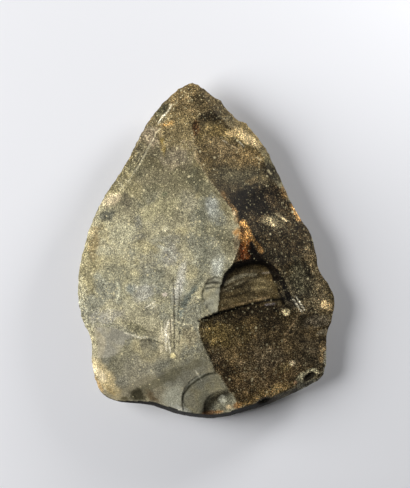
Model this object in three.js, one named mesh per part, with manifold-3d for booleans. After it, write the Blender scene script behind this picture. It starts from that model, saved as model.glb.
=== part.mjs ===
// A knapped flint hand axe, 100 mm long, lying on the flatter of its two faces.
// Millimetres, +Z up, +Y from the butt to the tip, +X to the right seen from above.
// The origin lies on the table, under the middle of the outline.
//
// The axe is one stone. It starts as a blank: the outline with its underside, and more than enough
// stone above the cutting edge. Each flake that was struck off is then a solid that lies over a scar
// surface z(x, y), and it is cut away, in the order of knapping: large faces first, edge nicks last.
import * as THREE from "three";
import { mergeVertices } from "three/addons/utils/BufferGeometryUtils.js";
import Module from "manifold-3d";

const wasm = await Module();
wasm.setup();

// ---- Driving dimensions ----------------------------------------------------------------------
const LENGTH = 100; // butt to tip
const WIDTH = 77; // across the broadest place, near the butt
const CREST_HEIGHT = 23.9; // the left face's highest possible point: the stone ends just under it
const EDGE_HEIGHT = 8; // mean height of the cutting edge above the table
const REST_SHARE = 0.3; // the flat resting spot, as a share of the outline
const CENTRE = new THREE.Vector2(0, -6); // the outline is seen whole from here
const EDGE_POINTS = 132; // straight steps around the outline
const CEILING = 160; // higher than any stone that is cut away
const SLIVER = 0.02; // facets that differ less than this are joined

// ---- The outline -----------------------------------------------------------------------------
// Anticlockwise from the tip: down the left edge, along the butt, up the right edge.
const OUTLINE = [
  [-5.6, 50], [-11.6, 45.7], [-17.6, 38.4], [-23.5, 27.9], [-31.3, 15], [-36.7, 2.8], [-38.5, -9.4],
  [-37.7, -19.6], [-35.1, -26.4], [-34, -35.4], [-31.8, -41.7], [-26.9, -44.7], [-16.3, -46.4],
  [-6.7, -49.2], [3.7, -49.8], [15.6, -46.7], [24.4, -42.9], [33, -38.7], [35.2, -34.6], [36.2, -27],
  [38.3, -19.2], [38.3, -14], [34.2, -5.4], [33.3, -0.6], [29.2, 8.2], [23.5, 18.6], [17.6, 30],
  [11.8, 37.6], [9.1, 39], [3.8, 45.2], [-2.4, 49.4],
];

// A smooth closed curve through a list of [x, y], as plan points.
function closedCurve(corners, steps) {
  const corners3 = corners.map(([x, y]) => new THREE.Vector3(x, y, 0));
  const curve = new THREE.CatmullRomCurve3(corners3, true, "catmullrom", 0.5);
  return curve.getPoints(steps).slice(0, steps).map((p) => new THREE.Vector2(p.x, p.y));
}

const fineOutline = closedCurve(OUTLINE, OUTLINE.length * 24).map((p) => {
  const arm = p.clone().sub(CENTRE);
  return { angle: Math.atan2(arm.y, arm.x), reach: arm.length() };
});
fineOutline.sort((a, b) => a.angle - b.angle);

// Distance from CENTRE to the outline in a direction.
function reachAt(angle) {
  const turned = THREE.MathUtils.euclideanModulo(angle + Math.PI, 2 * Math.PI) - Math.PI;
  const found = fineOutline.findIndex((p) => p.angle >= turned);
  const next = fineOutline[Math.max(found, 0)];
  const last = fineOutline.at(found > 0 ? found - 1 : -1);
  const span = THREE.MathUtils.euclideanModulo(next.angle - last.angle, 2 * Math.PI);
  const part = THREE.MathUtils.euclideanModulo(turned - last.angle, 2 * Math.PI);
  return THREE.MathUtils.lerp(last.reach, next.reach, part / span);
}

function outlinePoint(angle, share = 1) {
  const reach = reachAt(angle) * share;
  return new THREE.Vector2(CENTRE.x + reach * Math.cos(angle), CENTRE.y + reach * Math.sin(angle));
}

// The cutting edge isn't level: it rises to the tip, waves a little, and dips under the blunt butt.
function edgeHeight(angle) {
  const tilt = 1.2 * Math.sin(angle) - 0.6 * Math.cos(angle);
  const wave = 0.3 * Math.sin(5 * angle + 1) + 0.12 * Math.sin(11 * angle);
  return EDGE_HEIGHT + tilt + wave - 3.4 * hump(angle, degrees(-90), degrees(42));
}

// ---- Small helpers ---------------------------------------------------------------------------
const degrees = THREE.MathUtils.degToRad;

// The same irregular number from 0 to 1 each time it is asked for the same seed.
function wiggle(seed) {
  const value = Math.sin(seed * 12.9898) * 43758.5453;
  return value - Math.floor(value);
}

// 1 at the middle, easing to 0 at the given distance from it.
function hump(value, middle, width) {
  const away = Math.min(Math.abs(value - middle) / width, 1);
  return (1 - away * away) ** 2;
}

// 0 at the point from, 1 at the point to, and level beyond them.
function ramp(x, y, from, to) {
  const dx = to[0] - from[0];
  const dy = to[1] - from[1];
  const share = ((x - from[0]) * dx + (y - from[1]) * dy) / (dx * dx + dy * dy);
  return THREE.MathUtils.clamp(share, 0, 1);
}

// A smooth run through rows of [y, value], listed from low y to high y.
function smoothRun(rows) {
  const slope = rows.map((row, i) => {
    const before = rows[Math.max(i - 1, 0)];
    const after = rows[Math.min(i + 1, rows.length - 1)];
    return (after[1] - before[1]) / (after[0] - before[0]);
  });
  return (y) => {
    const above = rows.findIndex((row) => row[0] > y);
    const i = above < 0 ? rows.length - 2 : Math.max(above - 1, 0);
    const height = rows[i + 1][0] - rows[i][0];
    const t = THREE.MathUtils.clamp((y - rows[i][0]) / height, 0, 1);
    const ease = t * t * (3 - 2 * t);
    const leave = t * (1 - t) ** 2 * height * slope[i];
    const arrive = t * t * (t - 1) * height * slope[i + 1];
    return THREE.MathUtils.lerp(rows[i][1], rows[i + 1][1], ease) + leave + arrive;
  };
}

// ---- The large faces, each a height over the plan ----------------------------------------------
// The left face is one broad, gently arched flake scar.
function leftFace(x, y) {
  return CREST_HEIGHT - 0.00353 * (x - 25.2) ** 2 - 0.0031 * (y + 4) ** 2;
}

// The right face falls away from a wandering crest. It meets the left face along it.
const crestX = smoothRun([
  [-60, 3.6], [-18, 3.6], [-10, 4], [-3.3, 7.5], [4, 9.7], [9, 8.6],
  [16.5, 4], [24, -1.2], [30, -3.4], [40, -5], [52, -5.2],
]);
const crestFall = smoothRun([
  [-60, 0.42], [-18, 0.46], [-10, 0.5], [-3.3, 0.61], [4, 0.73], [9, 0.76],
  [16.5, 0.66], [24, 0.53], [30, 0.455], [40, 0.355], [52, 0.3],
]);
function rightFace(x, y) {
  return leftFace(x, y) - crestFall(y) * (x - crestX(y));
}

function tipFace(x, y) {
  return 15.2 - 0.43 * (y - 38) - 0.04 * (x + 5);
}

function buttFace(x, y) {
  return 15 + 0.2 * x + 0.46 * (y + 41);
}

// The newest large scar, at the lower right. It rounds down towards the butt, and it bends up to
// meet the older faces at a low ridge on its left.
const ridgeX = smoothRun([
  [-60, 12], [-52, 8], [-41, 4.3], [-34, 1.6], [-28, -1.2], [-20, -2.6], [0, -3],
]);
function lowerRightFace(x, y) {
  const roundOff = 0.012 * Math.max(-34 - y, 0) ** 2;
  const bendUp = 0.6 * Math.exp(-Math.max(x - ridgeX(y), 0) / 9);
  return 19.75 - 0.155 * x - 0.0042 * x * x + 0.13 * (y + 18) - roundOff + bendUp;
}

function hingeFloor(x, y) {
  return 20.4 - 0.33 * (x - 4.3) + 0.03 * (y + 17.6);
}

// ---- Solids ------------------------------------------------------------------------------------
// A closed geometry's solid.
function solidOf(geometry) {
  const bare = geometry.index ? geometry.toNonIndexed() : geometry.clone();
  bare.deleteAttribute("normal");
  bare.deleteAttribute("uv");
  const merged = mergeVertices(bare, 1e-4);
  return new wasm.Manifold(
    new wasm.Mesh({
      numProp: 3,
      vertProperties: merged.attributes.position.array,
      triVerts: new Uint32Array(merged.index.array),
    }),
  );
}

// A closed skin over rings of equal length, listed from the bottom outwards and then up and in
// again, each ring anticlockwise, with a point that closes it at each end.
function loft(bottom, rings, top) {
  const steps = rings[0].length;
  const points = [bottom, ...rings.flat(), top];
  const faces = [];
  for (let j = 0; j < steps; j++) {
    const next = (j + 1) % steps;
    faces.push(0, 1 + next, 1 + j);
    for (let i = 0; i < rings.length - 1; i++) {
      const low = 1 + i * steps;
      const high = low + steps;
      faces.push(low + j, low + next, high + next);
      faces.push(low + j, high + next, high + j);
    }
    const last = 1 + (rings.length - 1) * steps;
    faces.push(last + j, last + next, points.length - 1);
  }
  const geometry = new THREE.BufferGeometry().setFromPoints(points);
  geometry.setIndex(faces);
  return solidOf(geometry);
}

const at = (p, z) => new THREE.Vector3(p.x, p.y, z);

// Everything above a surface inside a plan, which is a loop of points seen whole from its middle.
function overPlan(plan, surface, ringCount) {
  const sum = plan.reduce((total, p) => total.add(p), new THREE.Vector2());
  const middle = sum.divideScalar(plan.length);
  const rings = [];
  for (let i = 1; i <= ringCount; i++) {
    const scaled = plan.map((p) => middle.clone().lerp(p, i / ringCount));
    rings.push(scaled.map((p) => at(p, surface(p.x, p.y))));
  }
  rings.push(plan.map((p) => at(p, CEILING)));
  return loft(at(middle, surface(middle.x, middle.y)), rings, at(middle, CEILING));
}

// Everything above a surface, over the whole stone.
function overAll(surface, cell) {
  const across = WIDTH + 20;
  const along = LENGTH + 20;
  const columns = Math.round(across / cell);
  const rows = Math.round(along / cell);
  const slab = new THREE.BoxGeometry(across, along, 1, columns, rows, 1);
  const spots = slab.attributes.position;
  for (let i = 0; i < spots.count; i++) {
    const isTop = spots.getZ(i) > 0;
    spots.setZ(i, isTop ? CEILING : surface(spots.getX(i), spots.getY(i)));
  }
  return solidOf(slab);
}

// Everything above a surface inside a plan of any shape, which may run out past the stone.
function overRegion(plan, surface, cell) {
  const prism = new THREE.ExtrudeGeometry(new THREE.Shape(plan), { depth: CEILING, bevelEnabled: false });
  return overAll(surface, cell).intersect(solidOf(prism));
}

// An oval in plan: its middle, half length and half width, and its turn in degrees.
function oval([x, y], halfLength, halfWidth, turn, steps) {
  const ellipse = new THREE.EllipseCurve(x, y, halfLength, halfWidth, 0, 2 * Math.PI, false, degrees(turn));
  return ellipse.getPoints(steps).slice(0, steps);
}

// How deep a dish of that oval is: 1 in the middle, 0 at the rim.
function dish([cx, cy], halfLength, halfWidth, turn) {
  const cos = Math.cos(degrees(turn));
  const sin = Math.sin(degrees(turn));
  return (x, y) => {
    const u = ((x - cx) * cos + (y - cy) * sin) / halfLength;
    const v = ((y - cy) * cos - (x - cx) * sin) / halfWidth;
    return 1 - u * u - v * v;
  };
}

// ---- The underside -------------------------------------------------------------------------------
// It rises from the flat resting spot to the cutting edge, and broad dished scars run in from the
// edge all round it.
const UNDER_SCARS = 9;
const underScars = [];
for (let i = 0; i < UNDER_SCARS; i++) {
  const angle = (2 * Math.PI * (i + 0.35 * wiggle(i + 300))) / UNDER_SCARS;
  const middle = outlinePoint(angle, 0.7);
  const halfLength = 0.39 * reachAt(angle);
  const halfWidth = 10 + 4 * wiggle(i + 400);
  const hollow = dish([middle.x, middle.y], halfLength, halfWidth, THREE.MathUtils.radToDeg(angle));
  underScars.push({ hollow, depth: 1 + 0.8 * wiggle(i + 500) });
}

// Height of the underside, in a direction from CENTRE and at a share of the way to the outline.
function undersideHeight(angle, share) {
  const climb = Math.max((share - REST_SHARE) / (1 - REST_SHARE), 0);
  const spot = outlinePoint(angle, share);
  const depths = underScars.map((scar) => scar.depth * scar.hollow(spot.x, spot.y));
  const fade = Math.min(climb / 0.15, 1); // the scars run out at the resting spot and leave it flat
  return edgeHeight(angle) * climb ** 1.35 + fade * Math.max(0, ...depths);
}

// ---- The blank ---------------------------------------------------------------------------------
const UNDERSIDE_RINGS = 9;
const SHOULDER = 0.7; // the blank's top slopes up from its edge to here, as a share of the outline

function makeBlank() {
  const steps = 8;
  const angles = closedCurve(OUTLINE, EDGE_POINTS * steps)
    .filter((p, i) => i % steps === 0)
    .map((p) => Math.atan2(p.y - CENTRE.y, p.x - CENTRE.x));
  const rings = [];
  for (let i = 0; i <= UNDERSIDE_RINGS; i++) {
    const share = THREE.MathUtils.lerp(REST_SHARE, 1, i / UNDERSIDE_RINGS);
    rings.push(angles.map((angle) => at(outlinePoint(angle, share), undersideHeight(angle, share))));
  }
  const topRing = angles.map((angle) => {
    // The butt was left thick, with a steep back. Elsewhere the edge has a narrow bevel.
    const steepness = 1.7 + 3 * hump(angle, degrees(-88), degrees(40));
    const rise = steepness * (1 - SHOULDER) * reachAt(angle);
    return at(outlinePoint(angle, SHOULDER), edgeHeight(angle) + rise);
  });
  return loft(at(CENTRE, 0), [...rings, topRing], at(CENTRE, CEILING / 2));
}

// ---- The scars of the upper face -----------------------------------------------------------------
// A hinge: a step that grows from nothing at one point to its height at another, and stays level
// beyond. A flake that snapped off leaves one where it broke.
function hinge(height, from, to) {
  return (x, y) => height * ramp(x, y, from, to);
}

// An oval hollow under a face, deepest in the middle and running out at its rim.
function dishedScar(face, middle, halfLength, halfWidth, turn, depth, step = () => 0) {
  const hollow = dish(middle, halfLength, halfWidth, turn);
  const surface = (x, y) => face(x, y) - depth * hollow(x, y) - step(x, y);
  return overPlan(oval(middle, halfLength, halfWidth, turn, 32), surface, 3);
}

// Deep arched scar beside the crest, and the big scar below it, which cut off its foot.
const HINGE_PLAN = [
  [3.7, -18.6], [12, -18.6], [20, -17], [24.2, -14.4], [22.6, -10], [20.6, -6.6], [18, -4],
  [15, -3], [11.2, -3.2], [7.6, -4.4], [5.2, -6.4], [3.9, -9.6], [3.5, -14],
];
const LOWER_RIGHT_PLAN = [
  [-2.7, -21.2], [-2.4, -24], [-1.2, -28], [1.6, -34], [4.3, -41], [8, -52], [30, -70], [60, -40],
  [45, -16], [32, -17.6], [26.8, -18.1], [24.6, -14.2], [20, -14.2], [13, -15.5], [4, -17.9], [-1.9, -19.9],
];

function upperScars() {
  return [
    overAll(leftFace, 8),
    overAll(rightFace, 4),
    overAll(tipFace, 30),
    overAll(buttFace, 30),
    // on the left face
    dishedScar(leftFace, [-15, 42], 3.2, 5.2, -35, 0.7),
    dishedScar(leftFace, [-20, -37.5], 14, 11.8, 0, 0.7, hinge(0.45, [-24, -34], [-17, -24])),
    dishedScar(leftFace, [-27.8, -28.2], 8.4, 5.2, -22, 0.4),
    dishedScar(leftFace, [-27, 13], 9, 15, -25, 0.5),
    dishedScar(leftFace, [-14, -8], 10, 15, -30, 0.45),
    dishedScar(leftFace, [2.4, -13.2], 3.9, 5.4, 8, 0.35, hinge(0.35, [2.4, -30], [2.4, -20])),
    // on the right face, from the tip down
    dishedScar(rightFace, [9, 27], 15, 11.5, -52, 0.8, hinge(0.2, [6, 28], [1, 38])),
    dishedScar(rightFace, [20.5, 9], 10, 14, 24, 1.3),
    dishedScar(rightFace, [29, -10], 8.5, 8.5, 0, 0.8),
    overRegion(closedCurve(HINGE_PLAN, 39), hingeFloor, 30),
    overRegion(closedCurve(LOWER_RIGHT_PLAN, 64), lowerRightFace, 4),
    dishedScar(lowerRightFace, [33.5, -24], 8.5, 6.8, 10, 0.8),
    // on the butt
    dishedScar(buttFace, [1.2, -44.5], 8.8, 8.6, -20, 0.4, hinge(0.4, [1, -70], [1, -60])),
    dishedScar(buttFace, [4.2, -46.5], 5.2, 5.3, 0, 0.9, hinge(1.1, [4, -70], [4, -60])),
  ];
}

// Deep pits in the back of the butt, each an egg-shaped bite.
function buttPits() {
  return [[17, -45, 10.4, 20], [30.8, -37.4, 9.1, 30]].map(([x, y, z, turn]) => {
    const pit = new THREE.SphereGeometry(1, 12, 8);
    pit.scale(2.7, 1.5, 1.3);
    pit.rotateZ(degrees(turn));
    pit.translate(x, y, z);
    return solidOf(pit);
  });
}

// Small nicks struck along the sharp edges, some apart and some side by side. The butt has none.
const NICKS = 58;
function edgeNicks() {
  const nicks = [];
  for (let i = 0; i < NICKS; i++) {
    const angle = (2 * Math.PI * (i + 0.8 * wiggle(i))) / NICKS - Math.PI;
    const onButt = hump(angle, degrees(-92), degrees(44)) > 0;
    if (onButt || wiggle(i + 50) < 0.3) continue;
    const onRight = Math.cos(angle) > -0.1;
    const size = wiggle(i + 100);
    const halfWidth = onRight ? 1 + 1.8 * size : 0.7 + 1.3 * size;
    const bite = onRight ? 0.12 + 0.35 * size : 0.08 + 0.24 * size;
    const spot = outlinePoint(angle);
    const along = outlinePoint(angle + 0.02).sub(outlinePoint(angle - 0.02)).normalize();
    const inward = new THREE.Vector2(-along.y, along.x);
    const surface = (x, y) => {
      const arm = new THREE.Vector2(x, y).sub(spot);
      const sideways = arm.dot(along) / halfWidth;
      return edgeHeight(angle) - bite + arm.dot(inward) + bite * sideways * sideways;
    };
    const turn = THREE.MathUtils.radToDeg(along.angle());
    nicks.push(overPlan(oval([spot.x, spot.y], 2.2 * halfWidth, 4, turn, 12), surface, 2));
  }
  return nicks;
}

// ---- The stone ---------------------------------------------------------------------------------
const flakes = wasm.Manifold.union([...upperScars(), ...buttPits(), ...edgeNicks()]);
const stone = makeBlank().subtract(flakes).simplify(SLIVER);

// A manifold-3d solid's skin as a three.js geometry with flat facets.
function geometryOf(solid) {
  const mesh = solid.getMesh();
  const geometry = new THREE.BufferGeometry();
  geometry.setAttribute("position", new THREE.BufferAttribute(mesh.vertProperties, 3));
  geometry.setIndex(new THREE.BufferAttribute(mesh.triVerts, 1));
  const flat = geometry.toNonIndexed();
  flat.computeVertexNormals();
  return flat;
}

const flint = new THREE.MeshStandardMaterial({ color: 0x8a8268, roughness: 0.5, metalness: 0 });
const handAxe = new THREE.Mesh(geometryOf(stone), flint);
handAxe.name = "hand_axe";

const group = new THREE.Group();
group.add(handAxe);
export default group;
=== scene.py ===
# %% [markdown]
# # A knapped flint hand axe
#
# This lesson dresses one stone: a flint hand axe about 100 mm long, lying on its flatter face. A solid
# of it already exists in the frame, with the outline, the large faces and the flake scars. That solid has
# crisp flat facets and few triangles. Here the same surfaces are worked out again on a much finer mesh,
# so that the ripples, scratches and tiny edge nicks have room, and the stone gets its colours.

# %% Load the frame
import math
import bpy
import numpy as np
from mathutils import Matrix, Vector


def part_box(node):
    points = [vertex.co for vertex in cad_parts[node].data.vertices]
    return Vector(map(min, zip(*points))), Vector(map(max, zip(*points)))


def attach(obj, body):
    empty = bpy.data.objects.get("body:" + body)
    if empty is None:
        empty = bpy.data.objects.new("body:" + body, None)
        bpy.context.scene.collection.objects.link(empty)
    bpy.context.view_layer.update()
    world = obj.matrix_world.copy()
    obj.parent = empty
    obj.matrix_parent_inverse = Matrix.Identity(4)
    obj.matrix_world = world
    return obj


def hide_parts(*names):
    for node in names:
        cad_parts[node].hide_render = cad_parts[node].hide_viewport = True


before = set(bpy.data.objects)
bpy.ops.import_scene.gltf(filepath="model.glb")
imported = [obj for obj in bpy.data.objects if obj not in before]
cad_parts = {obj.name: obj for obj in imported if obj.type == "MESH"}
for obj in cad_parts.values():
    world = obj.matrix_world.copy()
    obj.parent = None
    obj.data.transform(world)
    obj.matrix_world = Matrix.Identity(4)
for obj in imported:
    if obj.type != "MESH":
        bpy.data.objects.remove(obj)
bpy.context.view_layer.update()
low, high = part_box("hand_axe")
LENGTH = 100.0
MM = (high.y - low.y) / LENGTH
print("one millimetre of the axe is", round(MM, 6), "m in the frame")

# %% [markdown]
# ## Small tools for shapes
#
# Everything below works on whole arrays of points with numpy, because a loop in Python over a hundred
# thousand points is slow. All lengths are in millimetres, with x across the axe, y from the butt to the
# tip and z up. They are turned into metres only when the mesh is made.

# %% Small tools for shapes
def ease(t):
    t = np.clip(t, 0, 1)
    return t * t * (3 - 2 * t)


def mix(a, b, share):
    return a + (b - a) * share


def hump(value, middle, width):
    """1 at the middle, easing to 0 at the given distance from it."""
    away = np.minimum(np.abs(value - middle) / width, 1)
    return (1 - away * away) ** 2


def ramp(x, y, start, end):
    """0 at the point start, 1 at the point end, and level beyond them."""
    dx, dy = end[0] - start[0], end[1] - start[1]
    share = ((x - start[0]) * dx + (y - start[1]) * dy) / (dx * dx + dy * dy)
    return np.clip(share, 0, 1)


def wiggle(seed):
    """An irregular number from 0 to 1, the same each time for one seed."""
    value = math.sin(seed * 12.9898) * 43758.5453
    return value - math.floor(value)


def dish(x, y, middle, half_length, half_width, turn=0):
    """1 in the middle of an oval, 0 on its rim, below 0 outside it. The turn is in degrees."""
    cos, sin = math.cos(math.radians(turn)), math.sin(math.radians(turn))
    u = ((x - middle[0]) * cos + (y - middle[1]) * sin) / half_length
    v = ((y - middle[1]) * cos - (x - middle[0]) * sin) / half_width
    return 1 - u * u - v * v


def smooth_run(rows):
    """A smooth curve through rows of (y, value), listed from low y to high y."""
    ys, values = np.array(rows, float).T
    slopes = np.array([
        (values[min(i + 1, len(ys) - 1)] - values[max(i - 1, 0)])
        / (ys[min(i + 1, len(ys) - 1)] - ys[max(i - 1, 0)])
        for i in range(len(ys))
    ])

    def run(y):
        i = np.clip(np.searchsorted(ys, y, side="right") - 1, 0, len(ys) - 2)
        height = ys[i + 1] - ys[i]
        t = np.clip((y - ys[i]) / height, 0, 1)
        leave = t * (1 - t) ** 2 * height * slopes[i]
        arrive = t * t * (t - 1) * height * slopes[i + 1]
        return mix(values[i], values[i + 1], ease(t)) + leave + arrive

    return run


print("the shape tools are ready")

# %% [markdown]
# ## Noise for a natural surface
#
# A broken stone is never regular, so edges wander and colours cloud. Blender has noise in its material
# nodes, but a mesh needs it as numbers. This is value noise: random heights on a square grid, blended
# smoothly between the grid's corners. Three sizes of it added together look like natural clouds.

# %% Noise for a natural surface
def corner_value(i, j, seed):
    value = np.sin(i * 127.1 + j * 311.7 + seed * 74.7) * 43758.5453
    return value - np.floor(value)


def soft_noise(x, y, size, seed):
    u, v = x / size, y / size
    i, j = np.floor(u), np.floor(v)
    a, b = ease(u - i), ease(v - j)
    near = mix(corner_value(i, j, seed), corner_value(i + 1, j, seed), a)
    far = mix(corner_value(i, j + 1, seed), corner_value(i + 1, j + 1, seed), a)
    return mix(near, far, b)


def clouds(x, y, size, seed):
    """Natural noise from 0 to 1, about 0.5 on average. The size is that of its largest blobs."""
    turned_x, turned_y = 0.8 * x - 0.6 * y, 0.6 * x + 0.8 * y
    total = 0.57 * soft_noise(x, y, size, seed)
    total += 0.29 * soft_noise(turned_x, turned_y, size / 2, seed + 1)
    return total + 0.14 * soft_noise(x, y, size / 4.1, seed + 2)


print("clouds at one spot:", round(float(clouds(3.0, 4.0, 5.0, 1)), 3))

# %% [markdown]
# ## The outline
#
# Seen from above, the axe is a blunt heart: a tip, a long straight left edge, a right edge with a corner
# low down, and a rounded butt. Few points describe it, and a smooth closed curve runs through them. Every
# place on the stone then has a direction from a middle point and a share of the way out to the edge.

# %% The outline
OUTLINE = np.array([
    (-5.6, 50), (-11.6, 45.7), (-17.6, 38.4), (-23.5, 27.9), (-31.3, 15), (-36.7, 2.8), (-38.5, -9.4),
    (-37.7, -19.6), (-35.1, -26.4), (-34, -35.4), (-31.8, -41.7), (-26.9, -44.7), (-16.3, -46.4),
    (-6.7, -49.2), (3.7, -49.8), (15.6, -46.7), (24.4, -42.9), (33, -38.7), (35.2, -34.6), (36.2, -27),
    (38.3, -19.2), (38.3, -14), (34.2, -5.4), (33.3, -0.6), (29.2, 8.2), (23.5, 18.6), (17.6, 30),
    (11.8, 37.6), (9.1, 39), (3.8, 45.2), (-2.4, 49.4),
])
MIDDLE = np.array([0.0, -6.0])


def closed_curve(corners, steps):
    """A smooth closed curve through the corners, with that many points from each corner to the next."""
    corners = np.asarray(corners, float)
    before, after = np.roll(corners, 1, axis=0), np.roll(corners, -1, axis=0)
    beyond = np.roll(corners, -2, axis=0)
    t = np.linspace(0, 1, steps, endpoint=False)[None, :, None]
    p0, p1, p2, p3 = (p[:, None, :] for p in (before, corners, after, beyond))
    curve = 2 * p1 + (p2 - p0) * t
    curve = curve + (2 * p0 - 5 * p1 + 4 * p2 - p3) * t**2 + (3 * p1 - p0 - 3 * p2 + p3) * t**3
    return (curve / 2).reshape(-1, 2)


arms = closed_curve(OUTLINE, 24) - MIDDLE
arm_angles = np.arctan2(arms[:, 1], arms[:, 0])
order = np.argsort(arm_angles)
full_turn = 2 * np.pi
known_angles = np.concatenate([arm_angles[order] + turns * full_turn for turns in (-1, 0, 1)])
known_reaches = np.tile(np.hypot(*arms[order].T), 3)


def reach_at(angle):
    """How far the outline is from the middle point in a direction."""
    return np.interp(angle, known_angles, known_reaches)


def edge_point(angle, share=1.0):
    reach = reach_at(angle) * share
    return MIDDLE[0] + reach * np.cos(angle), MIDDLE[1] + reach * np.sin(angle)


def direction_and_share(x, y):
    dx, dy = x - MIDDLE[0], y - MIDDLE[1]
    angle = np.arctan2(dy, dx)
    return angle, np.hypot(dx, dy) / reach_at(angle)


print("the outline is", np.ptp(arms[:, 0]).round(1), "by", np.ptp(arms[:, 1]).round(1), "mm")

# %% [markdown]
# ## The cutting edge
#
# Knappers work a hand axe from its edge, so the edge is a wavy line about a third of the way up. It dips
# under the butt. Two slow waves are enough, because the small bites come later.

# %% The cutting edge
EDGE_HEIGHT = 8.0


def edge_height(angle):
    tilt = 1.2 * np.sin(angle) - 0.6 * np.cos(angle)
    wave = 0.3 * np.sin(5 * angle + 1) + 0.12 * np.sin(11 * angle)
    dip_at_butt = 3.4 * hump(angle, math.radians(-90), math.radians(42))
    return EDGE_HEIGHT + tilt + wave - dip_at_butt


print("the edge at the tip is", round(float(edge_height(math.radians(90))), 1), "mm above the table")

# %% [markdown]
# ## The two sides and their crest
#
# Above the edge stand a few large faces, each left by one big flake. Each face is a formula for height over
# the plan. The left face is one broad gentle arch. The right face hangs from a wandering crest and falls away
# from it, steeply in the middle and gently near both ends.

# %% The two sides and their crest
CREST_HEIGHT = 23.9


def left_face(x, y):
    return CREST_HEIGHT - 0.00353 * (x - 25.2) ** 2 - 0.0031 * (y + 4) ** 2


crest_x = smooth_run([
    (-60, 3.6), (-18, 3.6), (-10, 4), (-3.3, 7.5), (4, 9.7), (9, 8.6),
    (16.5, 4), (24, -1.2), (30, -3.4), (40, -5), (52, -5.2),
])
crest_fall = smooth_run([
    (-60, 0.42), (-18, 0.46), (-10, 0.5), (-3.3, 0.61), (4, 0.73), (9, 0.76),
    (16.5, 0.66), (24, 0.53), (30, 0.455), (40, 0.355), (52, 0.3),
])


def right_face(x, y):
    return left_face(x, y) - crest_fall(y) * (x - crest_x(y))


print("the crest is", round(float(left_face(9.0, 5.0)), 1), "mm above the table")

# %% [markdown]
# ## The faces at the ends
#
# The tip and the butt are each one sloping plane. The lower right face bends over a second, softer ridge, and
# the floor of the hinge scar is a plane again.

# %% The faces at the ends
def tip_face(x, y):
    return 15.2 - 0.43 * (y - 38) - 0.04 * (x + 5)


def butt_face(x, y):
    return 15 + 0.2 * x + 0.46 * (y + 41)


ridge_x = smooth_run([
    (-60, 12), (-52, 8), (-41, 4.3), (-34, 1.6), (-28, -1.2), (-20, -2.6), (0, -3),
])


def lower_right_face(x, y):
    round_off = 0.012 * np.maximum(-34 - y, 0) ** 2
    bend_up = 0.6 * np.exp(-np.maximum(x - ridge_x(y), 0) / 9)
    return 19.75 - 0.155 * x - 0.0042 * x * x + 0.13 * (y + 18) - round_off + bend_up


def hinge_floor(x, y):
    return 20.4 - 0.33 * (x - 4.3) + 0.03 * (y + 17.6)


print("the tip face is", round(float(tip_face(-5.0, 40.0)), 1), "mm above the table near the tip")

# %% [markdown]
# ## The plans of two sharp-edged scars
#
# Most scars fade out at the rim, but two end at a sharp line: the hinge scar, whose flake snapped off under
# an arch, and the big scar on the lower right. Each is a closed curve through a few points in the plan.

# %% The plans of two sharp-edged scars
HINGE_ARCH = [
    (24.2, -14.4), (22.6, -10), (20.6, -6.6), (18, -4), (15, -3), (11.2, -3.2), (7.6, -4.4), (5.2, -6.4),
    (3.9, -9.6),
]
HINGE_PLAN = closed_curve([
    (3.7, -18.6), (12, -18.6), (20, -17), (24.2, -14.4), (22.6, -10), (20.6, -6.6), (18, -4),
    (15, -3), (11.2, -3.2), (7.6, -4.4), (5.2, -6.4), (3.9, -9.6), (3.5, -14),
], 8)
LOWER_RIGHT_PLAN = closed_curve([
    (-2.7, -21.2), (-2.4, -24), (-1.2, -28), (1.6, -34), (4.3, -41), (8, -52), (30, -70), (60, -40),
    (45, -16), (32, -17.6), (26.8, -18.1), (24.6, -14.2), (20, -14.2), (13, -15.5), (4, -17.9), (-1.9, -19.9),
], 8)


def is_inside(x, y, plan):
    """True for points inside a closed plan: a line from such a point crosses it an odd number of times."""
    inside = np.zeros(np.shape(x), bool)
    for (x0, y0), (x1, y1) in zip(np.roll(plan, 1, axis=0), plan):
        if y0 != y1:
            crosses = (y0 > y) != (y1 > y)
            inside ^= crosses & (x < (x1 - x0) * (y - y0) / (y1 - y0) + x0)
    return inside


print("the middle of the hinge scar is inside its plan:", bool(is_inside(12.0, -12.0, HINGE_PLAN)))

# %% [markdown]
# ## Ways to make a scar
#
# Each blow takes off a flake and leaves a scar: a shallow dish that runs out at its rim, or one that stops
# in a small step, a hinge, where the flake snapped off. A scar is a function that gives its surface and the
# places where it counts, so that one loop can lay all of them.

# %% Ways to make a scar
def distance_to(x, y, path):
    """How far each point is from a path of straight strokes."""
    nearest = np.full(np.shape(x), np.inf)
    for (x0, y0), (x1, y1) in zip(path, path[1:]):
        along = (x - x0) * (x1 - x0) + (y - y0) * (y1 - y0)
        along = np.clip(along / ((x1 - x0) ** 2 + (y1 - y0) ** 2), 0, 1)
        nearest = np.minimum(nearest, np.hypot(x - mix(x0, x1, along), y - mix(y0, y1, along)))
    return nearest


def hinge(height, start, end):
    return lambda x, y: height * ramp(x, y, start, end)


def dished(face, middle, half_length, half_width, turn, depth, step=lambda x, y: 0):
    """A dished scar under a face, as a function that gives its surface and where it counts."""
    def scar(x, y):
        hollow = dish(x, y, middle, half_length, half_width, turn)
        return face(x, y) - depth * hollow - step(x, y), hollow > 0

    return scar


def whole(face):
    return lambda x, y: (face(x, y), np.ones(np.shape(x), bool))


def within(face, plan):
    return lambda x, y: (face(x, y), is_inside(x, y, plan))


def rounded_hinge(x, y):
    """The hinge scar's floor, with a wall that leans back instead of standing upright."""
    floor, where = hinge_floor(x, y), is_inside(x, y, HINGE_PLAN)
    from_arch = distance_to(x, y, HINGE_ARCH)
    lean = np.clip(1 - from_arch / 2.2, 0, 1) ** 2
    top = np.minimum(left_face(x, y), right_face(x, y))
    return mix(floor, np.maximum(top, floor), 0.9 * lean), where


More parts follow.
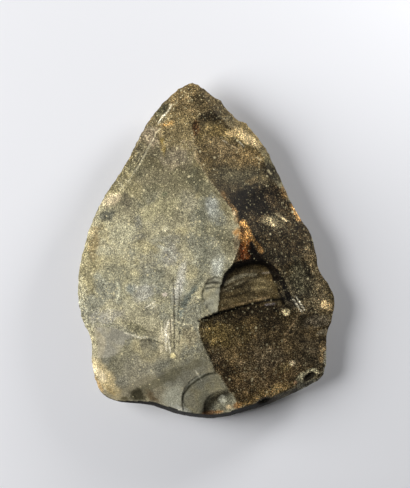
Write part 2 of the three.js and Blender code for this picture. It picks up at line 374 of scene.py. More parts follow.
wall_distance = float(distance_to(15.0, -12.0, HINGE_ARCH))
print("from the middle of the hinge scar to its wall it is", round(wall_distance, 1), "mm")

# %% [markdown]
# ## The row of scars
#
# A scar lowers the stone wherever its own surface lies below what was there. So the whole upper face is the
# lowest of many surfaces, taken in order, and the number of the scar that won is kept for the colours.

# %% The row of scars
SCARS = {
    "left": whole(left_face),
    "right": whole(right_face),
    "tip": whole(tip_face),
    "butt": whole(butt_face),
    "tip nick": dished(left_face, (-15, 42), 3.2, 5.2, -35, 0.7),
    "lower left": dished(left_face, (-20, -37.5), 14, 11.8, 0, 0.7, hinge(0.45, (-24, -34), (-17, -24))),
    "smooth left": dished(left_face, (-27.8, -28.2), 8.4, 5.2, -22, 0.4),
    "upper left": dished(left_face, (-27, 13), 9, 15, -25, 0.5),
    "middle left": dished(left_face, (-14, -8), 10, 15, -30, 0.45),
    "beside hinge": dished(left_face, (2.4, -13.2), 3.9, 5.4, 8, 0.35, hinge(0.35, (2.4, -30), (2.4, -20))),
    "upper right": dished(right_face, (9, 27), 15, 11.5, -52, 0.8, hinge(0.2, (6, 28), (1, 38))),
    "middle right": dished(right_face, (20.5, 9), 10, 14, 24, 1.3),
    "corner": dished(right_face, (29, -10), 8.5, 8.5, 0, 0.8),
    "hinge": rounded_hinge,
    "lower right": within(lower_right_face, LOWER_RIGHT_PLAN),
    "shoulder": dished(lower_right_face, (33.5, -24), 8.5, 6.8, 10, 0.8),
    "butt ripple": dished(butt_face, (1.2, -44.5), 8.8, 8.6, -20, 0.4, hinge(0.4, (1, -70), (1, -60))),
    "butt inner": dished(butt_face, (4.2, -46.5), 5.2, 5.3, 0, 0.9, hinge(1.1, (4, -70), (4, -60))),
}
SCAR_NAMES = ["edge", *SCARS, "pit", "nick"]
print(len(SCARS), "large faces and scars")

# %% [markdown]
# ## Pits and edge nicks
#
# Two deep little pits sit in the back of the butt. Along the sharp edges run the nicks of trimming and use.
# The larger ones are in the solid too and stand in the same places. Between them a second, finer row gives
# the edge its saw-like bite. Each nick is a tiny scoop that rises steeply inwards from a bite in the edge.

# %% Pits and edge nicks
PITS = [((17, -45), 10.4, 20), ((30.8, -37.4), 9.1, 30)]


def pit_floor(x, y, middle, height, turn):
    hollow = dish(x, y, middle, 2.7, 1.5, turn)
    return height - 1.3 * np.sqrt(np.clip(hollow, 0, 1)), hollow > 0


def nick_at(angle, half_width, bite):
    x, y = edge_point(angle)
    ahead, behind = edge_point(angle + 0.02), edge_point(angle - 0.02)
    along = np.array([ahead[0] - behind[0], ahead[1] - behind[1]])
    along /= np.hypot(*along)
    height = edge_height(angle)
    return {"x": x, "y": y, "along": along, "half_width": half_width, "bite": bite, "height": height}


def edge_nicks():
    nicks = []
    count = 58
    for i in range(count):
        angle = 2 * np.pi * (i + 0.8 * wiggle(i)) / count - np.pi
        on_butt = hump(angle, math.radians(-92), math.radians(44)) > 0
        if on_butt or wiggle(i + 50) < 0.3:
            continue
        size = wiggle(i + 100)
        if np.cos(angle) > -0.1:
            nicks.append(nick_at(angle, 1 + 1.8 * size, 0.12 + 0.35 * size))
        else:
            nicks.append(nick_at(angle, 0.7 + 1.3 * size, 0.08 + 0.24 * size))
    fine_count = 190
    for i in range(fine_count):
        angle = 2 * np.pi * (i + 0.9 * wiggle(i + 700)) / fine_count - np.pi
        on_butt = hump(angle, math.radians(-92), math.radians(40)) > 0
        if not on_butt:
            size = wiggle(i + 900)
            nicks.append(nick_at(angle, 0.5 + 0.6 * size, 0.05 + 0.2 * size))
    return nicks


NICKS = edge_nicks()


def nick_floor(x, y, nick):
    dx, dy = x - nick["x"], y - nick["y"]
    sideways = (dx * nick["along"][0] + dy * nick["along"][1]) / nick["half_width"]
    inward = dy * nick["along"][0] - dx * nick["along"][1]
    floor = nick["height"] - nick["bite"] + inward + nick["bite"] * sideways**2
    return floor, (np.abs(sideways) < 2.2) & (inward < 4) & (inward > -3)


print(len(NICKS), "edge nicks and", len(PITS), "pits")

# %% [markdown]
# ## The upper and under faces as heights
#
# The stone starts as a blank that rises steeply from the edge. Then every scar takes its share. The underside
# is simpler: it climbs from a flat resting spot to the edge, with nine broad dishes around it.

# %% The upper and under faces as heights
REST_SHARE = 0.3


def upper_height(x, y):
    """The height of the upper face, and the number of the scar that made each point."""
    angle, share = direction_and_share(x, y)
    steepness = 1.7 + 3 * hump(angle, math.radians(-88), math.radians(40))
    height = edge_height(angle) + steepness * (1 - share) * reach_at(angle)
    maker = np.zeros(np.shape(x), int)

    def take(surface, where, name):
        wins = where & (surface < height)
        height[wins] = surface[wins]
        maker[wins] = SCAR_NAMES.index(name)

    for name, scar in SCARS.items():
        take(*scar(x, y), name)
    for middle, pit_height, turn in PITS:
        take(*pit_floor(x, y, middle, pit_height, turn), "pit")
    near_edge = np.flatnonzero(share > 0.8)
    edge_x, edge_y = x[near_edge], y[near_edge]
    for nick in NICKS:
        floor, where = nick_floor(edge_x, edge_y, nick)
        wins = near_edge[where & (floor < height[near_edge])]
        height[wins] = np.minimum(height[wins], floor[where & (floor < height[near_edge])])
        maker[wins] = SCAR_NAMES.index("nick")
    return height, maker


UNDER_SCARS = []
for i in range(9):
    scar_angle = 2 * np.pi * (i + 0.35 * wiggle(i + 300)) / 9
    UNDER_SCARS.append({
        "middle": edge_point(scar_angle, 0.7),
        "half_length": 0.39 * reach_at(scar_angle),
        "half_width": 10 + 4 * wiggle(i + 400),
        "turn": math.degrees(scar_angle),
        "depth": 1 + 0.8 * wiggle(i + 500),
    })


def under_height(x, y):
    angle, share = direction_and_share(x, y)
    climb = np.clip((share - REST_SHARE) / (1 - REST_SHARE), 0, None)
    hollow = np.zeros(np.shape(x))
    for scar in UNDER_SCARS:
        depth = dish(x, y, scar["middle"], scar["half_length"], scar["half_width"], scar["turn"])
        hollow = np.maximum(hollow, scar["depth"] * depth)
    return edge_height(angle) * climb**1.35 + np.minimum(climb / 0.15, 1) * hollow


middle_height, _ = upper_height(np.array([9.0]), np.array([2.0]))
print("the stone is", middle_height.round(1)[0], "mm thick at its highest place")

# %% [markdown]
# ## A grid that fits the outline
#
# A square grid gives even little faces, but the stone is round. The concentric map bends a square grid into
# a disc without crowding the middle, as a fan of triangles would. The disc is then stretched to the
# outline. Where the two faces meet is found first, by walking inwards from the outline in every direction
# until the upper face stands above the underside.

# %% A grid that fits the outline
UPPER_CELLS = 276
UNDER_CELLS = UPPER_CELLS // 2


def disc_from_square(a, b):
    """Direction and share of the radius for points of a square that runs from -1 to 1."""
    leads = np.abs(a) > np.abs(b)
    longer, shorter = np.where(leads, a, b), np.where(leads, b, a)
    swing = np.pi / 4 * shorter / np.where(longer == 0, 1, longer)
    angle = np.where(leads, swing, np.pi / 2 - swing) + np.where(longer < 0, np.pi, 0)
    return (angle + np.pi) % full_turn - np.pi, np.abs(longer)


def square_grid(cells):
    steps = np.linspace(-1, 1, cells + 1)
    return np.meshgrid(steps, steps, indexing="ij")


look_angles = np.linspace(-np.pi, np.pi, 4 * UPPER_CELLS, endpoint=False)
look_shares = np.linspace(1, 0.94, 90)
look_angle_grid, look_share_grid = np.meshgrid(look_angles, look_shares, indexing="ij")
look_x, look_y = edge_point(look_angle_grid.ravel(), look_share_grid.ravel())
gap = (upper_height(look_x, look_y)[0] - under_height(look_x, look_y)).reshape(look_angle_grid.shape)
is_open = gap > 0
first_open = np.maximum(is_open.argmax(axis=1), 1)
rows = np.arange(len(look_angles))
gap_before, gap_after = gap[rows, first_open - 1], gap[rows, first_open]
crossing = first_open - 1 + gap_before / (gap_before - gap_after)
edge_shares = np.interp(crossing, np.arange(len(look_shares)), look_shares)
crumbs = clouds(*edge_point(look_angles), 1.6, 31) - 0.5
edge_shares -= 0.004 + 0.006 * crumbs


def stone_point(a, b):
    """Where a point of the square lies on the stone's plan."""
    angle, radius = disc_from_square(a, b)
    edge_share = np.interp(angle, look_angles, edge_shares, period=full_turn)
    return edge_point(angle, radius - (1 - edge_share) * radius**8)


print("the edge was bitten back by up to", round(float((1 - edge_shares).max() * 40), 2), "mm")

# %% [markdown]
# ## Fine relief
#
# Flint breaks like glass, so a blow sends waves through it. They stay in the scar as ripples, arcs
# round the point that was struck. They are strongest in the deep hinge scar and on the butt. The old faces
# also have a slow swell, a pitted skin and a few scratches.

# %% Fine relief
SCRATCHES = [
    # start, end, width, depth, pale or dark
    ((-9.9, -7.8), (-9.6, -30.4), 0.34, 0.14, "dark"),
    ((-8.1, -10.2), (-8.9, -22.5), 0.26, 0.07, "dark"),
    ((-11.0, -19.0), (-10.5, -29.0), 0.26, 0.07, "dark"),
    ((-12.6, -21.0), (-12.0, -29.5), 0.36, 0.05, "pale"),
    ((-11.5, -24.0), (-10.9, -30.0), 0.32, 0.05, "pale"),
    ((-18.3, -16.8), (-15.2, -14.8), 0.34, 0.05, "pale"),
    ((-16.7, -17.0), (-14.9, -15.9), 0.24, 0.03, "pale"),
    ((24.9, -13.6), (27.8, -18.0), 0.30, 0.05, "pale"),
    ((26.0, -13.3), (28.7, -17.6), 0.30, 0.05, "pale"),
    ((4.4, 32.8), (6.6, 31.3), 0.26, 0.03, "pale"),
    ((9.0, 32.4), (10.6, 30.8), 0.26, 0.03, "pale"),
    ((-3.6, -35.2), (-1.8, -38.0), 0.26, 0.03, "pale"),
]


def near_line(x, y, start, end, width):
    """1 on a straight line, 0 beyond its width, thinning towards both ends."""
    along = ramp(x, y, start, end)
    line_x, line_y = mix(start[0], end[0], along), mix(start[1], end[1], along)
    bend = 0.35 * (soft_noise(line_x, line_y, 3, 77) - 0.5)
    thin = width * (0.5 + 0.5 * np.sin(np.pi * np.clip(along, 0.02, 0.98)))
    return hump(np.hypot(x - line_x - bend, y - line_y), 0, thin)


def ripples(x, y, struck_at, spacing, depth, seed):
    distance = np.hypot(x - struck_at[0], y - struck_at[1])
    uneven = 5 * clouds(x, y, 7, seed)
    strength = 2.4 * np.clip(clouds(x, y, 5, seed + 5) - 0.25, 0, 1)
    return depth * strength * np.cos(full_turn * distance / spacing + uneven)


def made_by(maker, *names):
    return np.isin(maker, [SCAR_NAMES.index(name) for name in names])


def fine_relief(x, y, maker):
    relief = 0.40 * (clouds(x, y, 15, 3) - 0.5)
    relief += 0.24 * (clouds(x, y, 5, 6) - 0.5)
    relief += 0.06 * (clouds(x, y, 1.8, 8) - 0.5)
    relief += 0.05 * (clouds(x, y, 0.8, 9) - 0.5)
    relief += made_by(maker, "hinge") * ripples(x, y, (11, -40), 2.9, 0.16, 12)
    relief += made_by(maker, "beside hinge") * ripples(x, y, (9, -36), 2.6, 0.10, 14)
    relief += made_by(maker, "butt ripple") * ripples(x, y, (2.5, -52), 0.95, 0.02, 16)
    relief += made_by(maker, "shoulder") * ripples(x, y, (33, -44), 2.2, 0.07, 22)
    relief += made_by(maker, "middle right", "corner") * ripples(x, y, (40, 30), 3.9, 0.04, 24)
    valley = near_line(x, y, (-1.5, -8.5), (-7.2, -16.8), 2.6)
    relief -= 0.30 * valley
    for start, end, width, depth, _ in SCRATCHES:
        relief -= depth * near_line(x, y, start, end, width)
    return relief


print(len(SCRATCHES), "scratches and five sets of ripples")

# %% [markdown]
# ## The points of the mesh
#
# Now the heights are taken at every grid point. One light smoothing rounds the ridges by a third of a
# millimetre, as handling and burial did. The underside has half as many points each way, because its forms
# are broad, and it shares every second edge point with the upper face.

# %% The points of the mesh
def smoothed(values, passes=1):
    """Each grid value moved halfway to the mean of its four neighbours. The rim stays."""
    result = values.copy()
    for _ in range(passes):
        mean = (result[2:, 1:-1] + result[:-2, 1:-1] + result[1:-1, 2:] + result[1:-1, :-2]) / 4
        result[1:-1, 1:-1] = mix(result[1:-1, 1:-1], mean, 0.5)
    return result


upper_a, upper_b = square_grid(UPPER_CELLS)
upper_x, upper_y = stone_point(upper_a, upper_b)
flat_height, flat_maker = upper_height(upper_x.ravel(), upper_y.ravel())
maker = flat_maker.reshape(upper_x.shape)
rough_z = flat_height.reshape(upper_x.shape)
_, upper_radius = disc_from_square(upper_a, upper_b)
edge_fade = np.clip((1 - upper_radius) / 0.03, 0, 1)
upper_z = smoothed(rough_z) + edge_fade * fine_relief(upper_x, upper_y, maker)

under_a, under_b = square_grid(UNDER_CELLS)
under_x, under_y = stone_point(under_a, under_b)
under_z = under_height(under_x.ravel(), under_y.ravel()).reshape(under_x.shape)
_, under_share = direction_and_share(under_x, under_y)
under_swell = 0.25 * (clouds(under_x, under_y, 9, 40) - 0.5) + 0.12 * (clouds(under_x, under_y, 3, 43) - 0.5)
under_z = under_z + under_swell * np.clip((under_share - REST_SHARE) / 0.1, 0, 1)

rim = upper_radius > 1 - 1e-9
rim_under = under_height(upper_x[rim], upper_y[rim])
upper_z[rim] = (rough_z[rim] + rim_under) / 2
print(upper_x.size, "points above,", under_x.size, "below")

# %% [markdown]
# ## One closed skin
#
# The upper grid gives its own faces. The lower grid's rim is replaced by the upper grid's rim points, two
# steps for each of its own, so the skin is closed and watertight. The cutting edge is marked sharp: smooth
# shading would otherwise roll the light round it and make a knife edge look like soap.

# %% One closed skin
def grid_faces(index):
    """Four-sided faces of a grid of point numbers, anticlockwise seen from above."""
    corners = (index[:-1, :-1], index[1:, :-1], index[1:, 1:], index[:-1, 1:])
    return np.stack([corner.ravel() for corner in corners], axis=1)


upper_index = np.arange(upper_x.size).reshape(upper_x.shape)
under_index = np.zeros(under_x.shape, int)
under_index[1:-1, 1:-1] = upper_x.size + np.arange((UNDER_CELLS - 1) ** 2).reshape(UNDER_CELLS - 1, -1)
on_rim = np.ones(under_x.shape, bool)
on_rim[1:-1, 1:-1] = False
under_index[on_rim] = upper_index[::2, ::2][on_rim]

faces = grid_faces(upper_index).tolist()
last = UNDER_CELLS
for i in range(UNDER_CELLS):
    for j in range(UNDER_CELLS):
        loop = [(i, j), (i, j + 1), (i + 1, j + 1), (i + 1, j)]
        face = []
        for (i0, j0), (i1, j1) in zip(loop, loop[1:] + loop[:1]):
            face.append(int(under_index[i0, j0]))
            along_side = (i0 == i1 and i0 in (0, last)) or (j0 == j1 and j0 in (0, last))
            if along_side:
                face.append(int(upper_index[i0 + i1, j0 + j1]))
        faces.append(face)

inner = (slice(1, -1), slice(1, -1))
points = np.concatenate([
    np.stack([upper_x.ravel(), upper_y.ravel(), upper_z.ravel()], axis=1),
    np.stack([under_x[inner].ravel(), under_y[inner].ravel(), under_z[inner].ravel()], axis=1),
])
skin = bpy.data.meshes.new("flint_skin")
skin.from_pydata((points * MM).tolist(), [], faces)
skin.shade_smooth()
rim_numbers = np.zeros(len(points), bool)
rim_numbers[upper_index[rim]] = True
edge_ends = np.zeros(len(skin.edges) * 2, int)
skin.edges.foreach_get("vertices", edge_ends)
both_on_rim = rim_numbers[edge_ends.reshape(-1, 2)].all(axis=1)
sharp = skin.attributes.new("sharp_edge", "BOOLEAN", "EDGE")
sharp.data.foreach_set("value", both_on_rim)
stone = bpy.data.objects.new("hand_axe_stone", skin)
bpy.context.scene.collection.objects.link(stone)
triangles = sum(len(face) - 2 for face in faces)
print(len(points), "points and", triangles, "triangles")

# %% [markdown]
# ## Colours of old flint
#
# Fresh flint is nearly black. In the ground its skin turns pale, first bluish, then cream: this is patina. On
# this axe the old left face is grey-olive, its tip is brown, and the younger scars on the right are still
# dark. The ground colours change slowly from butt to tip, so each side gets a short run of tones, and a
# slow noise pushes the run up and down so that no level line shows. Two more clouds of noise shift the
# tones here and there, one towards cold grey and one towards warm cream.

# %% Colours of old flint
def tone(red, green, blue):
    """A colour from 0 to 255 as seen on a screen, turned into the linear numbers that shaders use."""
    share = np.array([red, green, blue]) / 255
    return np.where(share <= 0.04045, share / 12.92, ((share + 0.055) / 1.055) ** 2.4)


def tones_along(y, rows):
    """Colours blended between rows of (y, tone), listed from low y to high y."""
    ys = [row[0] for row in rows]
    return np.stack([np.interp(y, ys, [row[1][k] for row in rows]) for k in range(3)], axis=-1)


LEFT_TONES = [
    (-50, tone(146, 138, 116)), (-40, tone(142, 134, 109)), (-33, tone(143, 136, 111)),
    (-25, tone(156, 148, 119)), (-12, tone(161, 155, 127)), (2, tone(156, 149, 120)),
    (10, tone(146, 139, 111)), (16, tone(130, 123, 96)), (22, tone(112, 105, 79)),
    (30, tone(118, 105, 74)), (40, tone(112, 97, 65)), (50, tone(106, 90, 58)),
]
RIGHT_TONES = [
    (-20, tone(82, 71, 51)), (-10, tone(72, 63, 44)), (-3, tone(52, 44, 30)), (4, tone(54, 45, 30)),
    (10, tone(50, 41, 27)), (17, tone(52, 43, 29)), (21, tone(84, 75, 53)), (27, tone(100, 85, 56)),
    (34, tone(104, 90, 58)), (40, tone(80, 67, 43)), (50, tone(86, 72, 47)),
]
BUTT_TONES = [
    (-46, tone(82, 67, 44)), (-38, tone(86, 71, 49)), (-32, tone(78, 66, 46)), (-26, tone(74, 62, 42)),
    (-20, tone(62, 52, 34)),
]
RIGHT_SCARS = ["right", "upper right", "middle right", "corner"]
BUTT_SCARS = ["lower right", "shoulder"]


def upper_tones(x, y, maker):
    wander = y + 7 * (clouds(x, y, 11, 60) - 0.5)
    colours = tones_along(wander, LEFT_TONES)
    right, butt = made_by(maker, *RIGHT_SCARS), made_by(maker, *BUTT_SCARS)
    colours[right] = tones_along(wander, RIGHT_TONES)[right]
    colours[butt] = tones_along(wander, BUTT_TONES)[butt]
    colours[made_by(maker, "hinge")] = tone(90, 77, 51)
    colours[made_by(maker, "shoulder")] *= 1.5
    colours[made_by(maker, "beside hinge")] = tone(172, 166, 140)
    colours[made_by(maker, "butt ripple", "butt inner")] = tone(136, 131, 109)
    colours[made_by(maker, "smooth left")] = tone(170, 161, 136)
    return colours


upper_colours = upper_tones(upper_x, upper_y, maker)
on_dark_side = made_by(maker, *RIGHT_SCARS, *BUTT_SCARS, "hinge") | (made_by(maker, "nick") & (upper_x > 8))
cold = ease((clouds(upper_x, upper_y, 9, 301) - 0.47) / 0.16)[..., None]
warm = ease((clouds(upper_x, upper_y, 6, 305) - 0.50) / 0.14)[..., None]
upper_colours = upper_colours * mix(1, np.array([0.70, 0.74, 0.83]), 0.95 * cold)
upper_colours = upper_colours * mix(1, np.array([1.16, 1.12, 1.00]), 0.9 * warm)
print("the pale side has", len(LEFT_TONES), "tones, the dark side", len(RIGHT_TONES) + len(BUTT_TONES))

# %% [markdown]
# ## A brush for stains
#
# A stain soaks in unevenly, so its rim is torn at every scale. The brush starts from an oval, pushes its rim
# in and out with noise of three sizes, and lets the paint thin out towards it. A second brush draws along a
# path and breaks up the same way.

# %% A brush for stains
def torn(x, y, seed):
    """Noise from about -1 to 1 with large and small blobs."""
    return (
        1.2 * (clouds(x, y, 4.5, seed) - 0.5)
        + 1.0 * (clouds(x, y, 1.7, seed + 1) - 0.5)
        + 0.7 * (clouds(x, y, 0.7, seed + 2) - 0.5)
    )


def blotch(x, y, middle, half_length, half_width, turn=0, ragged=0.5, seed=0):
    """1 inside an oval stain with a torn rim, 0 outside. The less ragged, the softer its rim."""
    distance = np.sqrt(np.maximum(1 - dish(x, y, middle, half_length, half_width, turn), 0))
    fade = 1.1 - 0.5 * ragged
    return 1 - ease((distance + 1.3 * ragged * torn(x, y, 50 + 3 * seed) - 0.9 + fade / 2) / fade)


def paint(under, over, mask):
    return under + (over - under) * mask[..., None]


def along_path(x, y, path, width, ragged=0.5, seed=91):
    """1 on a path of straight strokes, thinning and breaking up along it."""
    near = distance_to(x, y, path)
    return hump(near + ragged * width * torn(x, y, seed), 0, width)


print("the brushes are ready")

# %% [markdown]
# ## Stains from the tip down the crest
#
# Long ages in the ground leave stains of every brown. Each is a torn patch with a tone, a place, a size and
# a strength, listed roughly from the tip down. Brown gathers at the tip, and grey and ochre lie beside the
# crest.

# %% Stains from the tip down the crest
PALE_BLOTCHES = [
    # name, tone, middle, half length, half width, turn, strength, ragged
    ("brown tip", tone(112, 95, 66), (-5, 45), 9, 5, 0, 0.5, 0.5),
    ("dark right of the tip", tone(66, 56, 36), (0.5, 43), 5.6, 2.6, -40, 0.75, 0.6),
    ("dark by the tip nick", tone(66, 64, 46), (-13.4, 41.4), 3.0, 1.4, 52, 0.9, 0.3),
    ("ochre below the tip", tone(164, 124, 64), (-12.0, 37.2), 2.0, 1.1, 12, 0.85, 0.6),
    ("ochre lower", tone(164, 140, 76), (-13.2, 31.4), 0.9, 2.6, 6, 0.7, 0.8),
    ("pinkish margin", tone(152, 136, 112), (-17, 34), 3, 5, 30, 0.5, 0.8),
    ("pinkish grey", tone(130, 118, 98), (-9, 28), 4, 4, 0, 0.5, 0.9),
    ("dark beside the crest", tone(86, 83, 64), (-3.4, 21.4), 3.4, 3.0, 20, 0.75, 0.6),
    ("dark further left", tone(104, 98, 74), (-8.6, 22.4), 3.4, 2.0, 10, 0.6, 0.8),
    ("dark at the crest", tone(98, 92, 70), (3.6, 16.6), 4.5, 1.3, -56, 0.6, 0.7),
    ("grey cloud above", tone(116, 108, 84), (-16, 21.4), 7, 2.8, 12, 0.6, 0.9),
    ("dark spot", tone(84, 88, 66), (-12.6, 16.6), 1.1, 0.8, 30, 0.8, 0.3),
    ("light above the middle", tone(160, 154, 130), (-6.0, 14.4), 3.4, 3.2, 0, 0.6, 0.6),
    ("olive middle", tone(154, 147, 110), (-14.4, 12.6), 5.6, 3.0, 10, 0.5, 0.8),
    ("light on the left", tone(170, 165, 136), (-24.4, 4.6), 4.6, 5.0, 10, 0.6, 0.8),
    ("bluish by the crest", tone(160, 161, 150), (1.4, 12.8), 1.9, 3.2, 8, 0.85, 0.3),
    ("bluish below it", tone(142, 142, 128), (3.2, 9.4), 2.2, 2.6, 20, 0.6, 0.5),
    ("ochre by the crest", tone(132, 120, 88), (5.8, 11.2), 1.0, 3.6, 22, 0.4, 0.8),
    ("dark by the rust", tone(108, 104, 82), (4.6, 4.4), 3.8, 3.2, -40, 0.8, 0.5),
    ("dark at the corner", tone(98, 92, 70), (6.8, 1.2), 2.0, 3.4, 10, 0.7, 0.6),
    ("light dot by the rust", tone(156, 150, 124), (2.6, 2.4), 1.2, 0.9, 0, 0.7, 0.4),
    ("bluish streak", tone(190, 190, 174), (2.9, -4.8), 1.9, 3.2, -14, 0.95, 0.4),
    ("pale rib", tone(186, 182, 168), (-8.0, -8.6), 1.4, 6.4, -14, 0.7, 0.4),
    ("lilac above the rib", tone(158, 154, 142), (-10.4, -1.0), 3.0, 4.0, 0, 0.6, 0.6),
]
print(len(PALE_BLOTCHES), "stains from the tip down the crest")

# %% [markdown]
# ## Clouds and the left margin
#
# Bluish clouds mark where the patina, the pale skin of old flint, is thinnest. The grey clouds in the middle
# of the left face are painted shade of its soft hollows. A scrap of cream rind is left on the left edge, with
# a dark patch below it.

# %% Clouds and the left margin
PALE_BLOTCHES += [
    ("bluish dark cloud", tone(124, 128, 120), (-22.6, -11.4), 1.7, 1.9, 10, 0.85, 0.4),
    ("lilac cloud", tone(164, 162, 150), (-19.0, -12.4), 3.8, 2.4, 10, 0.8, 0.5),
    ("lilac low left", tone(164, 159, 146), (-30, -19.4), 5.6, 2.8, 12, 0.6, 0.7),
    # The four grey clouds below are painted shade of soft hollows in the left face.
    ("grey cloud", tone(120, 117, 102), (-20.4, 8.0), 1.3, 3.0, 6, 0.85, 0.5),
    ("grey cloud lower", tone(122, 118, 102), (-19.8, 4.2), 2.6, 1.1, 10, 0.8, 0.5),
    ("grey cloud middle", tone(138, 135, 119), (-12.6, 3.2), 5.6, 1.6, 4, 0.65, 0.8),
    ("grey cloud below", tone(142, 139, 122), (-16.6, -3.4), 3.8, 2.6, 20, 0.55, 0.8),
    ("small grey", tone(124, 120, 100), (-15.4, 7.2), 1.1, 0.9, 0, 0.7, 0.4),
    ("light dot", tone(200, 192, 160), (-12.2, 6.4), 0.9, 0.7, 30, 0.8, 0.4),
    ("pink dot", tone(206, 192, 174), (-12.5, -12.8), 0.8, 0.7, 0, 0.9, 0.3),
    ("grey below", tone(134, 130, 110), (-17.0, -17.2), 1.9, 1.4, 0, 0.7, 0.6),
    ("greenish margin", tone(138, 128, 92), (-35, -5), 2.6, 9.0, -4, 0.75, 0.8),
    ("ochre margin", tone(142, 123, 84), (-33.4, 2), 2.2, 5.0, -14, 0.65, 0.9),
    ("cream island", tone(204, 186, 150), (-28.1, 15.1), 3.0, 1.5, 32, 1.0, 0.35),
    ("dark below the island", tone(84, 83, 70), (-29.6, 10.4), 3.3, 1.7, 24, 0.95, 0.4),
    ("dark right of the island", tone(96, 90, 72), (-23.8, 14.6), 1.4, 2.6, 14, 0.85, 0.6),
    ("dark above the island", tone(106, 100, 78), (-25.8, 19.0), 2.2, 1.6, 0, 0.6, 0.7),
]
print(len(PALE_BLOTCHES), "stains so far")

# %% [markdown]
# ## Cortex and the lower left
#
# Low on the left sits chalky cortex, the rind that the nodule had before it was knapped. Olive stripes cross
# the scar beside it, and dark stains lie where it meets the butt.

# %% Cortex and the lower left
PALE_BLOTCHES += [
    ("dark lower left", tone(116, 111, 88), (-28.2, -34.4), 1.8, 5.0, -28, 0.75, 0.6),
    ("grey lower left", tone(132, 127, 110), (-21.4, -35.6), 6.0, 4.0, 10, 0.6, 0.6),
    ("olive above the step", tone(112, 107, 82), (-20.8, -22.8), 3.6, 1.4, -22, 0.85, 0.6),
    ("olive below the step", tone(118, 112, 92), (-18.4, -27.0), 2.4, 1.4, 40, 0.75, 0.6),
    ("olive stripe", tone(104, 99, 76), (-13.6, -38.2), 6.2, 1.5, 26, 0.65, 0.9),
    ("olive stripe end", tone(118, 112, 88), (-5.6, -34.0), 4.6, 1.3, 22, 0.55, 1.0),
    ("tan right", tone(152, 138, 104), (-5.6, -24.8), 3.0, 3.0, 0, 0.5, 0.9),
    ("pale smooth", tone(172, 170, 150), (-10.0, -43.4), 3.8, 4.6, -16, 0.9, 0.4),
    ("pale foot", tone(190, 189, 176), (-7.6, -47.4), 4.2, 1.3, -20, 0.9, 0.5),
    ("cortex", tone(186, 168, 126), (-29.8, -38.6), 6.6, 2.3, -52, 1.0, 0.45),
    ("cortex bright", tone(226, 208, 168), (-31.6, -36.6), 2.8, 1.1, -56, 0.9, 0.6),
    ("cortex hollow", tone(158, 138, 96), (-28.4, -41.6), 2.4, 0.9, -46, 0.8, 0.8),
    ("cortex rim", tone(176, 146, 98), (-33.0, -38.4), 3.4, 0.6, -60, 0.8, 0.8),
    ("dark on the butt", tone(56, 52, 36), (-20.6, -42.6), 2.5, 1.9, -10, 0.95, 0.5),
    ("dark left of it", tone(92, 84, 60), (-24.6, -44.0), 1.4, 1.0, 0, 0.9, 0.5),
    ("brown on the butt", tone(100, 84, 60), (-16.0, -43.6), 2.8, 1.3, -50, 0.85, 0.7),
    ("scraped", tone(200, 188, 156), (-12.4, -25.4), 1.5, 4.4, -14, 0.75, 1.0),
    ("cream dot", tone(232, 216, 160), (-10.1, -30.8), 0.75, 0.75, 0, 1.0, 0.15),
    ("cream by the crest", tone(166, 142, 104), (-2.7, 27.4), 1.1, 2.0, 20, 0.9, 0.5),
]
print(len(PALE_BLOTCHES), "stains on the pale side")

# %% [markdown]
# ## Laying on the pale side's paint
#
# The patches are painted one over another, and only on the pale side. Then painted shade darkens a valley
# that runs down beside the crest, at the foot of the slope.

# %% Laying on the pale side's paint
VALLEY = [
    (-1.6, 14.8), (-2.2, 11), (-1.4, 7), (-0.6, 3.6), (-0.9, -1), (-1.2, -5), (-1.9, -8.4), (-4.2, -11.8),
]
VALLEY_FOOT = [(-3.6, -11.0), (-5.6, -13.6), (-7.2, -16.2), (-8.0, -18.4)]


def lay_on(colours, blotches, where, first_seed):
    for seed, (_, colour, middle, half_length, half_width, turn, strength, ragged) in enumerate(blotches):
        mask = blotch(upper_x, upper_y, middle, half_length, half_width, turn, ragged, first_seed + seed)
        colours = paint(colours, colour, strength * mask * where)
    return colours


upper_colours = lay_on(upper_colours, PALE_BLOTCHES, ~on_dark_side, 0)
# Painted shade down the valley beside the crest and along its foot.
valley = along_path(upper_x, upper_y, VALLEY, 1.9, 0.4) * ~on_dark_side
upper_colours = paint(upper_colours, tone(108, 107, 90), 0.75 * valley)
valley_foot_shade = along_path(upper_x, upper_y, VALLEY_FOOT, 1.5, 0.3) * ~on_dark_side
upper_colours = paint(upper_colours, tone(112, 118, 108), 0.85 * valley_foot_shade)
print("the valley covers", round(float((valley > 0.5).mean() * 100), 1), "% of the points")
